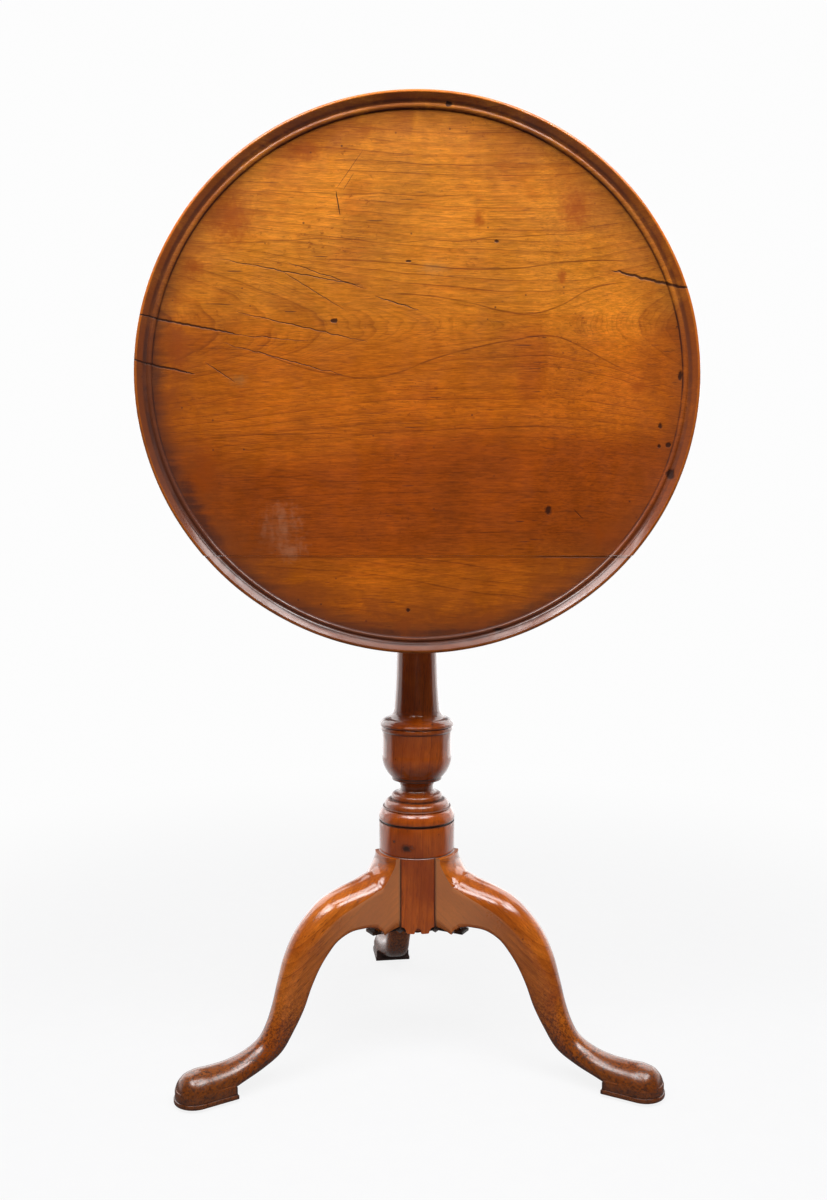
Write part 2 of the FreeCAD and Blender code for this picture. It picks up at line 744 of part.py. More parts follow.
def draw_scallop(sketch):
    """The waste under the lower edge of one bay: a notch, a lobe each side and a bite at each leg."""
    low = f"{BASE_FOOT} - overrun"
    high = f"{BASE_FOOT} + scallop_height"
    step = f"{BASE_FOOT} + scallop_dip"
    lobe_end = "notch_half_width + 2*lobe_half_width"

    def half(sign):
        return [
            (f"{sign}*base_radius", low),
            (f"{sign}*base_radius", high),
            (f"{sign}*({lobe_end} + bite_width)", high),
            (f"{sign}*({lobe_end} + {ROUND_SHARE}*bite_width)", f"{high} - {ROUND_SHARE}*scallop_height",
             "via"),
            (f"{sign}*({lobe_end})", step),
            (f"{sign}*(notch_half_width + lobe_half_width)", f"{BASE_FOOT} - scallop_dip", "via"),
            (f"{sign}*notch_half_width", step),
        ]

    right = half(1)
    left = half(-1)
    mirrored = [left[6], left[5], left[4], left[3], left[2], left[1], left[0]]
    draw_outline(sketch, right + [("0", high, "via")] + mirrored)


def pillar_wedge():
    body = new_body("pillar_wedge")
    side = new_sketch(body, "side", "YZ_Plane")
    thick = "kerf_width/2 - wedge_gap"
    draw_outline(side, [
        (f"-({thick})", BLOCK_TOP),
        (f"-({thick})/2", f"{BLOCK_TOP} - kerf_depth + wedge_gap"),
        (f"({thick})/2", f"{BLOCK_TOP} - kerf_depth + wedge_gap"),
        (thick, BLOCK_TOP),
    ])
    pad(body, side, "2*(tenon_radius - tenon_gap)", side="Symmetric")
    return body


# Legs

LEG_SPAN = f"(leg_reach - {FLAT_REACH})"
LIP_REACH = "base_radius + lip_overhang"


def draw_section(sketch, width, depth, crown, corner):
    """A leg section: flat underside, eased lower corners, flat sides and a crowned back."""
    half = f"({width})/2"
    low = f"-({depth})/2"
    side_top = f"({depth})/2 - {crown}"
    ease = f"{ROUND_SHARE}*{corner}"
    draw_outline(sketch, [
        (f"-{half} + {corner}", low),
        (f"{half} - {corner}", low),
        (f"{half} - {ease}", f"{low} + {ease}", "via"),
        (half, f"{low} + {corner}"),
        (half, side_top),
        ("0", f"({depth})/2", "via"),
        (f"-{half}", side_top),
        (f"-{half}", f"{low} + {corner}"),
        (f"-{half} + {ease}", f"{low} + {ease}", "via"),
    ])
    return sketch


def on_arch(name):
    out, up = ARCH_SHARES[name]
    return f"{FLAT_REACH} + {out}*{LEG_SPAN}", f"pad_thickness + {up}*{LEG_HEIGHT}"


def leg(label, angle):
    """A cabriole leg drawn along +X: dovetail, lip, knee, ankle and slipper foot."""
    body = new_body(label)
    root_low = f"({BASE_FOOT} - overrun/2)"
    root_depth = f"collar_foot - {root_low}"
    root_middle = f"(collar_foot + {root_low})/2"
    root_crown = f"{ROOT_CROWN_SHARE}*leg_stock"
    root_corner = f"{ROOT_CORNER_SHARE}*leg_stock"
    root = new_sketch(body, "root", "YZ_Plane", ("0", root_middle, FLAT_REACH))
    draw_section(root, "leg_stock", root_depth, root_crown, root_corner)
    pad(body, root, f"{LIP_REACH} - {FLAT_REACH}")
    lip = new_sketch(body, "lip", "YZ_Plane", ("0", root_middle, LIP_REACH))
    draw_section(lip, "leg_stock", root_depth, root_crown, root_corner)
    sections = []
    for name, out, up, tilt, deep, wide, crown, corner in LEG_SECTION_SHARES:
        middle = ("0", f"pad_thickness + {up}*{LEG_HEIGHT}", f"{FLAT_REACH} + {out}*{LEG_SPAN}")
        section = new_sketch(body, name, "YZ_Plane", middle, str(tilt), (1, 0, 0))
        width = f"{wide}*leg_stock"
        draw_section(section, width, f"{deep}*{LEG_HEIGHT}", f"{crown}*{width}", f"{corner}*{width}")
        sections.append(section)
    loft = body.newObject("PartDesign::AdditiveLoft", f"{label}_loft")
    loft.Profile = lip
    loft.Sections = sections
    doc.recompute()
    cove = new_sketch(body, "lip_cove", "XZ_Plane")
    cove_top = "collar_foot - lip_thickness"
    cove_end = f"{LIP_REACH} + lip_cove"
    draw_outline(cove, [
        (LIP_REACH, "collar_foot + overrun"),
        (LIP_REACH, cove_top),
        (f"{LIP_REACH} + {ROUND_SHARE}*lip_cove", f"{cove_top} - (1 - {ROUND_SHARE})*lip_cove", "via"),
        (cove_end, f"{cove_top} - lip_cove"),
        (f"{cove_end} + overrun", f"{cove_top} - lip_cove"),
        (f"{cove_end} + overrun", "collar_foot + overrun"),
    ])
    turn_away(body, cove)
    arch = new_sketch(body, "arch", "XZ_Plane")
    floor = f"{on_arch('arch_end')[1]} - overrun"
    inside = f"{FLAT_REACH} - overrun"
    draw_outline(arch, [
        (inside, floor),
        (inside, on_arch("root")[1]),
        on_arch("root"),
        (*on_arch("root_curve"), "via"),
        on_arch("cusp"),
        (*on_arch("bite_curve"), "via"),
        on_arch("arch_start"),
        (*on_arch("arch_crown"), "via"),
        on_arch("arch_end"),
        (on_arch("arch_end")[0], floor),
    ])
    cut(body, arch, side="Symmetric")
    draw_foot(body)
    bearing = new_sketch(body, "brace_bearing", "XY_Plane", ("0", "0", BASE_FOOT))
    draw_box(bearing, FLAT_REACH, "-bearing_width/2", "brace_reach + bearing_margin", "bearing_width/2")
    pad(body, bearing, "bearing_height")
    tongue = new_sketch(body, "tongue", "XY_Plane", ("0", "0", BASE_FOOT))
    draw_tongue(tongue, "0")
    pad(body, tongue, f"collar_foot - tongue_stop - ({BASE_FOOT})")
    nail = new_sketch(body, "nail_hole", "XY_Plane", ("0", "0", BASE_FOOT))
    draw_circle(nail, "leg_nail_reach", "0", "nail_radius + nail_gap")
    cut(body, nail, "nail_length", reverse=True)
    turn_about_pillar(body, angle)
    return body


FOOT_HALF_WIDTH = "foot_width/2"
SOLE_TOP = "pad_thickness + sole_thickness"


def draw_foot(body):
    """The heel block and the sole that stands out round it, with a half-round toe."""
    levels = (
        ("sole", "pad_thickness", "sole_ledge", "sole_thickness"),
        ("heel", SOLE_TOP, "0", "heel_height - sole_thickness"),
    )
    for name, level, ledge, height in levels:
        plan = new_sketch(body, name, "XY_Plane", ("0", "0", level))
        half = f"({FOOT_HALF_WIDTH} + {ledge})"
        back = f"leg_reach - foot_length - {ledge}"
        round_start = f"leg_reach - {FOOT_HALF_WIDTH}"
        draw_outline(plan, [
            (back, f"-{half}"),
            (round_start, f"-{half}"),
            (f"leg_reach + {ledge}", "0", "via"),
            (round_start, half),
            (back, half),
        ])
        pad(body, plan, height)


def foot_pad(label, angle):
    body = new_body(label)
    disc = new_sketch(body, "disc", "XY_Plane")
    draw_circle(disc, "leg_reach - foot_length/2", "0", "pad_radius")
    pad(body, disc, "pad_thickness")
    turn_about_pillar(body, angle)
    return body


# Brace

def leg_brace():
    """The flat iron plate with one arm under each leg, holed for its nails."""
    body = new_body("leg_brace")
    low = ("0", "0", f"{BASE_FOOT} - brace_thickness")
    hub = new_sketch(body, "hub", "XY_Plane", low)
    draw_circle(hub, "0", "0", "brace_hub_radius")
    pad(body, hub, "brace_thickness")
    for name, angle in LEG_ANGLES.items():
        arm = new_sketch(body, f"{name}_arm", "XY_Plane", low, angle)
        draw_box(arm, "0", "-brace_arm_width/2", "brace_reach", "brace_arm_width/2")
        pad(body, arm, "brace_thickness")
    for name, reach, angle in nail_places():
        hole = new_sketch(body, f"{name}_hole", "XY_Plane", ("0", "0", BASE_FOOT), angle)
        draw_circle(hole, reach, "0", "nail_radius + nail_gap")
        cut(body, hole)
    return body


def nail_places():
    in_legs = [(name, "leg_nail_reach", angle) for name, angle in LEG_ANGLES.items()]
    in_bays = [(name, "pillar_nail_reach", f"{angle} - 90") for name, angle in BAY_ANGLES.items()]
    return in_legs + in_bays


def brace_nails():
    nails = []
    for name, reach, angle in nail_places():
        across = f"({reach})*cos({angle})"
        back = f"({reach})*sin({angle})"
        under = f"{BASE_FOOT} - brace_thickness"
        shank = cylinder(f"{name}_shank", "nail_radius", "nail_length")
        set_place(shank, across, back, under, FreeCAD.Rotation())
        head = cylinder(f"{name}_head", "nail_head_radius", "nail_head")
        set_place(head, across, back, f"{under} - nail_head", FreeCAD.Rotation())
        nails.append(fastener(f"{name}_nail_piece", shank, head))
    return group("brace_nails", nails)


# Spring catch

BOLT_LOW = "-catch_depth + catch_wall + bolt_gap"
BOLT_TIP = "block_side/2 + strike_thickness - bolt_bite"
BOLT_END = f"{CATCH_FRONT} + bolt_tail"
KNOB_BACK = f"{CATCH_FRONT} + {KNOB_PLACE_SHARE}*bolt_tail"
CATCH_END = f"{CATCH_FRONT} + catch_length"


def catch_case():
    """A brass box open towards the top, with flanges, a window for the bolt and a slot for the knob."""
    body = new_body("catch_case")
    shell = new_sketch(body, "shell", "XY_Plane")
    draw_box(shell, "-catch_width/2", CATCH_FRONT, "catch_width/2", CATCH_END)
    pad(body, shell, "catch_depth", reverse=True)
    inside = new_sketch(body, "inside", "XY_Plane")
    draw_box(inside, "-catch_width/2 + catch_wall", f"{CATCH_FRONT} + catch_wall",
             "catch_width/2 - catch_wall", f"{CATCH_END} - catch_wall")
    cut(body, inside, "catch_depth - catch_wall")
    for name, sign in (("left", -1), ("right", 1)):
        flange = new_sketch(body, f"{name}_flange", "XY_Plane")
        draw_box(flange, f"{sign}*(catch_width/2 - catch_wall)", CATCH_FRONT,
                 f"{sign}*(catch_width/2 + flange_width)", CATCH_END)
        pad(body, flange, "catch_wall", reverse=True)
    window = new_sketch(body, "window", "XZ_Plane", ("0", "0", f"-({CATCH_FRONT})"))
    draw_box(window, f"-({SLOT_HALF_WIDTH})", f"{BOLT_LOW} - bolt_gap",
             SLOT_HALF_WIDTH, f"{BOLT_LOW} + bolt_thickness + bolt_gap")
    cut(body, window, "catch_wall", reverse=False)
    slot = new_sketch(body, "knob_slot", "XY_Plane", ("0", "0", "-catch_depth + catch_wall"))
    draw_box(slot, "-knob_stem_radius - bolt_gap", f"{KNOB_BACK} - knob_stem_radius - bolt_gap",
             "knob_stem_radius + bolt_gap", f"{KNOB_BACK} + knob_stem_radius + bolt_travel + bolt_gap")
    cut(body, slot, "catch_wall")
    holes = new_sketch(body, "screw_holes", "XY_Plane")
    for across, back in catch_screw_places():
        draw_circle(holes, across, back, "small_screw_radius + screw_gap")
    cut(body, holes)
    stand_upright(body)
    return body


def catch_bolt():
    """A flat bolt with a bevelled tip that rides over the block's edge."""
    body = new_body("catch_bolt")
    side = new_sketch(body, "side", "YZ_Plane")
    high = f"{BOLT_LOW} + bolt_thickness"
    draw_outline(side, [
        (f"{BOLT_TIP} + bolt_bite - bolt_gap", BOLT_LOW),
        (BOLT_END, BOLT_LOW),
        (BOLT_END, high),
        (BOLT_TIP, high),
        (BOLT_TIP, f"{high} - bolt_thickness/3"),
    ])
    pad(body, side, "bolt_width", side="Symmetric")
    stand_upright(body)
    return body


def catch_knob():
    """The turned finger knob on the bolt."""
    body = new_body("catch_knob")
    outline = new_sketch(body, "outline", "XZ_Plane")
    stem_end = f"{BOLT_LOW} - catch_wall - bolt_gap - knob_stem_clear"

    def on_knob(name):
        out, down = KNOB_SHARES[name]
        return f"{out}*knob_radius", f"{stem_end} - {down}*knob_length"

    draw_outline(outline, [
        ("0", BOLT_LOW),
        ("0", f"{stem_end} - knob_length"),
        (f"{KNOB_SHARES['crown'][0]}*knob_radius", f"{stem_end} - {KNOB_SHARES['crown'][1]}*knob_length"),
        (*on_knob("belly"), "via"),
        on_knob("belly_low"),
        on_knob("neck"),
        ("knob_stem_radius", stem_end),
        ("knob_stem_radius", BOLT_LOW),
    ])
    revolve(body, outline)
    stand_upright(body, back=KNOB_BACK)
    return body


def catch_spring():
    """A bowed leaf between the bolt's tail and the case's end wall."""
    body = new_body("catch_spring")
    low = f"{BOLT_LOW} + (bolt_thickness - spring_width)/2"
    bow = new_sketch(body, "bow", "XY_Plane", ("0", "0", low))
    wall = f"{CATCH_END} - catch_wall"
    half = "spring_span/2"
    draw_outline(bow, [
        (f"-{half}", wall),
        ("0", BOLT_END, "via"),
        (half, wall),
        (f"{half} - spring_leaf", wall),
        ("0", f"{BOLT_END} + spring_leaf", "via"),
        (f"-{half} + spring_leaf", wall),
    ])
    pad(body, bow, "spring_width")
    stand_upright(body)
    return body


def catch_screws():
    screws = []
    for index, (across, back) in enumerate(catch_screw_places()):
        shank = cylinder(f"catch_shank_{index}", "small_screw_radius", "small_screw_length + catch_wall")
        stand_upright(shank, across, back, "-catch_wall")
        head = cylinder(f"catch_head_{index}", "small_screw_head_radius", "small_screw_head")
        stand_upright(head, across, back, "-catch_wall - small_screw_head")
        screws.append(fastener(f"catch_screw_{index}", shank, head))
    return group("catch_screws", screws)


pieces = [
    tray_board("tabletop_main_board", True),
    tray_board("tabletop_lower_board", False),
    batten("left_batten", -1),
    batten("right_batten", 1),
    batten_screws(),
    pivot_block(),
    strike_plate(),
    strike_screws(),
    pillar(),
    pillar_wedge(),
    leg_brace(),
    brace_nails(),
    catch_case(),
    catch_bolt(),
    catch_knob(),
    catch_spring(),
    catch_screws(),
]
for place, leg_angle in LEG_ANGLES.items():
    pieces.append(leg(f"{place}_leg", leg_angle))
    pieces.append(foot_pad(f"{place}_foot_pad", leg_angle))

# The floor under the middle of the footprint is the frame's origin: the pillar stands in front of it
TOE_MIDDLE = f"(leg_reach - {FOOT_HALF_WIDTH})"
FOOTPRINT_MIDDLE = f"{TOE_MIDDLE}*(cos(rear_leg_skew) - cos(leg_spread))/2"
for piece in pieces:
    own = dict(piece.ExpressionEngine).get(".Placement.Base.y", "0")
    piece.setExpression("Placement.Base.y", f"{own} - {bound(FOOTPRINT_MIDDLE)}")

doc.recompute()
failed = [o.Name for o in doc.Objects if {"Invalid", "Error"} & set(o.State)]
failed += [p.Label for p in pieces if p.Shape.isNull() or not p.Shape.isValid()]
if failed:
    raise RuntimeError(f"not built: {failed}")

os.makedirs("parts", exist_ok=True)
for piece in pieces:
    piece.Shape.exportStep(f"parts/{piece.Label}.step")
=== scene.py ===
"""Looks of a tray-top tea table with a tilting top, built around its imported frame."""

import json
import math

import bmesh
import bpy
import numpy as np
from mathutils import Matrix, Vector


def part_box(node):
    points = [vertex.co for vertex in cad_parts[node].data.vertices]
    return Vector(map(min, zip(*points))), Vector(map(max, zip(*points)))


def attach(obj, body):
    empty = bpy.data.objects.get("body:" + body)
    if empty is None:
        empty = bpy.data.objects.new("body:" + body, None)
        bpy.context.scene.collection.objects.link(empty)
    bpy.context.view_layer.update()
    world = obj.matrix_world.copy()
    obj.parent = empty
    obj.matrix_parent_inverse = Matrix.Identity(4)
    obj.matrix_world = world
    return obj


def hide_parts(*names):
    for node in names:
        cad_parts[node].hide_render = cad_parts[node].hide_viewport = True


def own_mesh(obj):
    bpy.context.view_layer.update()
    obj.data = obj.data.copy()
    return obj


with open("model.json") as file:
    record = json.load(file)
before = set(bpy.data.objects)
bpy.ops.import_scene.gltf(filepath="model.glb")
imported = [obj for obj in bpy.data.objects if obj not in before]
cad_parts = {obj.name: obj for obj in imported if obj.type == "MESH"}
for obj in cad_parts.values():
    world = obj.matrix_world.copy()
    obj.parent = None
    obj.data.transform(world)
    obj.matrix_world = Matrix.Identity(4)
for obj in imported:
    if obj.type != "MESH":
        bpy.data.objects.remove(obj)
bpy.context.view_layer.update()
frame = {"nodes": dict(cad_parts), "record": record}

bl_info = {
    "name": "Tray-top tea table",
    "version": (1, 0, 0),
    "blender": (4, 5, 0),
    "location": "View3D > Sidebar > Tea Table",
    "description": "Carved tray top, turned pillar, cabriole legs, fittings and studio",
    "category": "Object",
}

MM = 0.001


def middle_of(node):
    low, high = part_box(node)
    return [(a + b) / 2 for a, b in zip(low, high)]


AXIS = middle_of("pillar")[1]
BOARD_LOW, BOARD_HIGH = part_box("tabletop_main_board")
LOWER_LOW, LOWER_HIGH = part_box("tabletop_lower_board")
TRAY_RADIUS = (BOARD_HIGH[0] - BOARD_LOW[0]) / 2
TRAY_THICKNESS = BOARD_HIGH[1] - BOARD_LOW[1]
TRAY_BACK = BOARD_HIGH[1]
TRAY_MIDDLE = (BOARD_HIGH[2] + LOWER_LOW[2]) / 2
GLUE_LINE = LOWER_HIGH[2]


def length(name, default, description):
    return bpy.props.FloatProperty(
        name=name, description=description, default=default, subtype="DISTANCE", unit="LENGTH", precision=5)


def share(name, default, description):
    return bpy.props.FloatProperty(name=name, description=description, default=default, precision=4)


def angle(name, degrees, description):
    return bpy.props.FloatProperty(
        name=name, description=description, default=math.radians(degrees), subtype="ANGLE", unit="ROTATION")


def colour(name, default, description):
    return bpy.props.FloatVectorProperty(
        name=name, description=description, default=default, subtype="COLOR", size=3, min=0, max=1)


class TrayTopSizes(bpy.types.PropertyGroup):
    radius: length("Radius", TRAY_RADIUS, "Radius of the round top along its grain")
    thickness: length("Thickness", TRAY_THICKNESS, "From the underside to the top of the rim")
    dish: length("Dish", 0.009, "Depth of the field below the top of the rim")
    rim: length("Rim", 0.019, "Width of the carved rim")
    edge_round: length("Edge round", 0.006, "Rounding of the outer edge at the back")
    glue_gap: length("Glue gap", 0.00012, "Half the open line between the two boards")
    settle: length("Settle", 0.0016, "How far the shrunken top's middle lies below its drawn middle")
    joint_step: length("Joint step", 0.0005, "How far the narrow board has shrunk back at the rim")
    shrinkage: share("Shrinkage", 0.9845, "Height over width of the top, shrunk across its grain")
    # Light wood: the upper field's paler tone, partly the wood's own and partly painted light from above
    light: colour("Light wood", (0.620, 0.205, 0.015), "Early wood of the top")
    amber: colour("Amber wood", (0.490, 0.115, 0.005), "Middle tone of the top")
    red: colour("Red wood", (0.295, 0.051, 0.003), "Red streak in the lower half of the top")
    line: colour("Ring line", (0.150, 0.030, 0.004), "Late wood lines of the top")
    edge: colour("Handled edge", (0.215, 0.047, 0.008), "Wood darkened by hands near the rim")
    grime: colour("Grime", (0.050, 0.017, 0.012), "Old wax and dirt in the rim")
    back: colour("Back", (0.205, 0.090, 0.036), "Dry wood of the underside")


class PillarSizes(bpy.types.PropertyGroup):
    ease: length("Ease", 0.00045, "Rounding of the turned edges")
    scallop_depth: length("Scallop depth", 0.009, "How deep the scallops are cut into the base")
    wood: colour("Wood", (0.300, 0.047, 0.003), "Polished wood of the pillar")
    dark: colour("Dark wood", (0.085, 0.017, 0.004), "Late wood and grime of the pillar")
    glow: colour("Glow", (0.480, 0.094, 0.008), "Worn wood of the pillar")


class LegSizes(bpy.types.PropertyGroup):
    spread: angle("Spread", 60, "Turn of each front leg from straight forward")
    rear_skew: angle("Rear skew", 6.4, "Turn of the rear leg from straight back")
    stock: length("Stock", 0.045, "Width of the leg at the pillar")
    wood: colour("Wood", (0.340, 0.068, 0.004), "Polished wood of the legs")
    dark: colour("Dark wood", (0.105, 0.024, 0.006), "Late wood and grime of the legs")
    glow: colour("Glow", (0.560, 0.142, 0.012), "Worn wood of the legs")
    dusty: colour("Dusty wood", (0.650, 0.255, 0.102), "Duller flat sides of the legs")


class FittingSettings(bpy.types.PropertyGroup):
    spring_leaf: length("Spring leaf", 0.0007, "Thickness of the catch's leaf spring")
    dry_wood: colour("Dry wood", (0.200, 0.088, 0.036), "Unpolished wood of block and battens")
    dry_line: colour("Dry wood line", (0.075, 0.030, 0.013), "Late wood of block and battens")
    iron: colour("Iron", (0.050, 0.043, 0.040), "Wrought iron of brace, nails and screws")
    rust: colour("Rust", (0.130, 0.045, 0.018), "Rust on the iron")
    brass: colour("Brass", (0.360, 0.235, 0.085), "Brass of the catch")
    tarnish: colour("Tarnish", (0.120, 0.070, 0.026), "Tarnish on the brass")
    steel: colour("Steel", (0.230, 0.235, 0.260), "Blued steel of the catch spring")
    felt: colour("Felt", (0.016, 0.014, 0.014), "Black felt under the feet")


class StudioSettings(bpy.types.PropertyGroup):
    camera_place: bpy.props.FloatVectorProperty(
        name="Camera place", description="Camera position measured from the foot of the pillar's axis",
        default=(-0.03699, -1.19543, 0.57050), subtype="TRANSLATION", unit="LENGTH", precision=5)
    camera_pitch: angle("Camera pitch", 86.28, "Tilt of the camera, level at 90 degrees")
    camera_turn: angle("Camera turn", -1.6, "Turn of the camera about the upright")
    lens: share("Lens", 33.0, "Focal length in millimetres on a 36 mm frame")
    floor: colour("Floor", (0.15, 0.15, 0.156), "Pale floor")
    floor_glow: share("Floor glow", 0.865, "Light that the floor's white paper sends to the camera")
    floor_behind: share("Floor behind", 1.3, "Light that the polish sees from the floor behind and beside")
    backdrop: share("Backdrop", 1.6, "Brightness of the low white backdrop behind the table")
    room: share("Room", 0.05, "Brightness of the dim room in front of the table")
    front_power: share("Front light", 13.0, "Power of each high front softbox in watts")
    top_power: share("Top light", 13.0, "Power of the overhead softbox in watts")
    side_power: share("Side light", 12.5, "Power of each high side softbox in watts")
    edge_power: share("Edge light", 5.0, "Power of each card behind the table that shows in its polish")
    gleam_power: share("Rear gleam", 7.0, "Power of each high rear softbox that shows in the polish")
    fill_power: share("Low fill", 0.25, "Power of the narrow low light in front of the pillar in watts")


# Curves and surfaces

# Points nearer than this are welded, edges shorter than this are dropped, and the slack of a cut
WELD, SLIVER, CUT_SLACK = 0.000002, 0.000001, 0.0000001


def arc(start, via, end, count):
    """Points on the circle through three points, evenly turned from the first to the last."""
    start, via, end = (np.array(p, float) for p in (start, via, end))
    lines = 2 * np.array([via - start, end - start])
    centre = np.linalg.solve(lines, [via @ via - start @ start, end @ end - start @ start])
    angles = [math.atan2(*(p - centre)[::-1]) for p in (start, via, end)]
    whole = (angles[2] - angles[0]) % math.tau
    if (angles[1] - angles[0]) % math.tau > whole:
        whole -= math.tau
    turn = angles[0] + whole * np.linspace(0, 1, count)
    return centre + np.hypot(*(start - centre)) * np.stack([np.cos(turn), np.sin(turn)], axis=1)


def eased(points, size):
    """Each corner of a chain gives way to three points of a small curve that starts size away."""
    points = np.asarray(points, float)
    before, here, after = points[:-2], points[1:-1], points[2:]
    in_way, out_way = before - here, after - here
    in_long = np.linalg.norm(in_way, axis=1, keepdims=True)
    out_long = np.linalg.norm(out_way, axis=1, keepdims=True)
    enter = here + in_way / in_long * np.minimum(size, 0.4 * in_long)
    leave = here + out_way / out_long * np.minimum(size, 0.4 * out_long)
    crown = 0.25 * enter + 0.5 * here + 0.25 * leave
    inner = np.stack([enter, crown, leave], axis=1).reshape(-1, points.shape[1])
    return np.concatenate([points[:1], inner, points[-1:]])


def smooth_through(knots, values, at):
    """Cubic curve through the values at the knots, its slope at each taken from its neighbours."""
    knots, values = np.asarray(knots, float), np.asarray(values, float)
    slopes = np.gradient(values, knots, axis=0)
    index = np.clip(np.searchsorted(knots, at) - 1, 0, len(knots) - 2)
    span = knots[index + 1] - knots[index]
    part = (at - knots[index]) / span
    shape = (-1,) + (1,) * (values.ndim - 1)
    part, span = part.reshape(shape), span.reshape(shape)
    return ((2 * part ** 3 - 3 * part ** 2 + 1) * values[index]
            + (part ** 3 - 2 * part ** 2 + part) * span * slopes[index]
            + (3 * part ** 2 - 2 * part ** 3) * values[index + 1]
            + (part ** 3 - part ** 2) * span * slopes[index + 1])


def ramped(values, low, high):
    """Smooth rise from 0 at low to 1 at high."""
    part = np.clip((values - low) / (high - low), 0, 1)
    return part * part * (3 - 2 * part)


def grid_faces(rows, columns):
    """Corner numbers of the quads of a grid whose columns close on themselves."""
    row, column = np.meshgrid(np.arange(rows - 1), np.arange(columns), indexing="ij")
    beside = (column + 1) % columns
    quads = [row * columns + column, row * columns + beside,
             (row + 1) * columns + beside, (row + 1) * columns + column]
    return np.stack(quads, axis=-1).reshape(-1, 4)


def new_mesh(name, grids):
    """One mesh of several grids of points, each closed along its columns."""
    points, quads, start = [], [], 0
    for grid in grids:
        rows, columns = grid.shape[:2]
        points.append(grid.reshape(-1, 3))
        quads.append(grid_faces(rows, columns) + start)
        start += rows * columns
    points, quads = np.concatenate(points), np.concatenate(quads)
    mesh = bpy.data.meshes.new(name)
    mesh.vertices.add(len(points))
    mesh.vertices.foreach_set("co", points.ravel())
    mesh.loops.add(quads.size)
    mesh.loops.foreach_set("vertex_index", quads.ravel().astype(np.int32))
    mesh.polygons.add(len(quads))
    mesh.polygons.foreach_set("loop_start", np.arange(0, quads.size, 4, dtype=np.int32))
    mesh.update(calc_edges=True)
    return mesh


def close_up(mesh, sharp=32, cut=None):
    """Merge the poles and seams, keep one side of a cut plane, turn faces outwards, smooth."""
    shell = bmesh.new()
    shell.from_mesh(mesh)
    bmesh.ops.remove_doubles(shell, verts=shell.verts, dist=WELD)
    bmesh.ops.dissolve_degenerate(shell, edges=shell.edges, dist=SLIVER)
    if cut:
        place, away = cut
        parts = shell.verts[:] + shell.edges[:] + shell.faces[:]
        result = bmesh.ops.bisect_plane(
            shell, geom=parts, plane_co=place, plane_no=away, clear_outer=True, dist=CUT_SLACK)
        rim = [part for part in result["geom_cut"] if isinstance(part, bmesh.types.BMEdge)]
        bmesh.ops.triangle_fill(shell, edges=rim, use_beauty=True)
    bmesh.ops.recalc_face_normals(shell, faces=shell.faces)
    shell.to_mesh(mesh)
    shell.free()
    mesh.shade_smooth()
    mesh.set_sharp_from_angle(angle=math.radians(sharp))
    return mesh


def new_piece(mesh, body, node, material):
    piece = bpy.data.objects.new(mesh.name, mesh)
    bpy.context.scene.collection.objects.link(piece)
    mesh.materials.append(material)
    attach(piece, body)
    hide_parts(node)
    return piece


def finish_nodes(names, material):
    """Give the frame's own pieces a finish."""
    for name in names:
        for slot in frame["nodes"][name].material_slots:
            slot.material = material


# Shader wiring

class Flow:
    """A value on its way through a shader; sums, products and comparisons of it are new maths nodes."""

    def __init__(self, socket):
        self.socket, self.tree = socket, socket.id_data

    def __add__(self, other):
        return maths("ADD", self, other)

    def __sub__(self, other):
        return maths("SUBTRACT", self, other)

    def __rsub__(self, other):
        return maths("SUBTRACT", other, self)

    def __mul__(self, other):
        return maths("MULTIPLY", self, other)

    def __truediv__(self, other):
        return maths("DIVIDE", self, other)

    def __gt__(self, other):
        return maths("GREATER_THAN", self, other)

    def __lt__(self, other):
        return maths("LESS_THAN", self, other)

    def __abs__(self):
        return maths("ABSOLUTE", self)


def tree_of(terms):
    """The shader that the first flow among some terms runs in."""
    return next(term.tree for term in terms if isinstance(term, Flow))


def feed(socket, given):
    """Link a flow to a socket, or set a number, a vector or a colour on it."""
    if isinstance(given, Flow):
        given.tree.links.new(given.socket, socket)
    elif socket.type == "RGBA" and len(given) == 3:
        socket.default_value = (*given, 1.0)
    else:
        socket.default_value = given


def give(sockets, **flows):
    """Feed sockets by their names, written small and with underscores."""
    for name, flow in flows.items():
        feed(sockets[name.replace("_", " ").title().replace("Ior", "IOR")], flow)


def put(tree, kind, inputs=None, **settings):
    """A new node with its settings and its inputs."""
    node = tree.nodes.new(kind)
    for name, setting in settings.items():
        setattr(node, name, setting)
    for name, given in (inputs or {}).items():
        feed(node.inputs[name], given)
    return node


def made(tree, kind, output, inputs=None, **settings):
    """The flow out of one output of a new node."""
    return Flow(put(tree, kind, inputs, **settings).outputs[output])


def maths(operation, *terms, clamp=False):
    return made(tree_of(terms), "ShaderNodeMath", 0, dict(enumerate(terms)), operation=operation, use_clamp=clamp)


def most(first, *others):
    """The greatest of several flows at each point."""
    for other in others:
        first = maths("MAXIMUM", first, other)
    return first


def far_from(across, along):
    """Distance from the point where both flows are zero."""
    return maths("SQRT", across * across + along * along)


def rise(amount, low, high, to_low=0.0, to_high=1.0):
    """Smooth rise of a value between two bounds."""
    return made(amount.tree, "ShaderNodeMapRange", 0, {
        "Value": amount, "From Min": low, "From Max": high, "To Min": to_low, "To Max": to_high,
    }, interpolation_type="SMOOTHSTEP")


def between(amount, low, low_full, high_full, high):
    """A band: rises from low to low_full and falls again from high_full to high."""
    return rise(amount, low, low_full) * rise(amount, high, high_full)


def blend(factor, first, second, mode="MIX"):
    tree = tree_of((factor, first, second))
    return made(tree, "ShaderNodeMix", 2, {0: factor, 6: first, 7: second}, data_type="RGBA", blend_type=mode)


def layered(tone, *layers):
    """A tone under layers, each of them a mask and the tint that it lays on."""
    for mask, tint in layers:
        tone = blend(mask, tone, tint)
    return tone


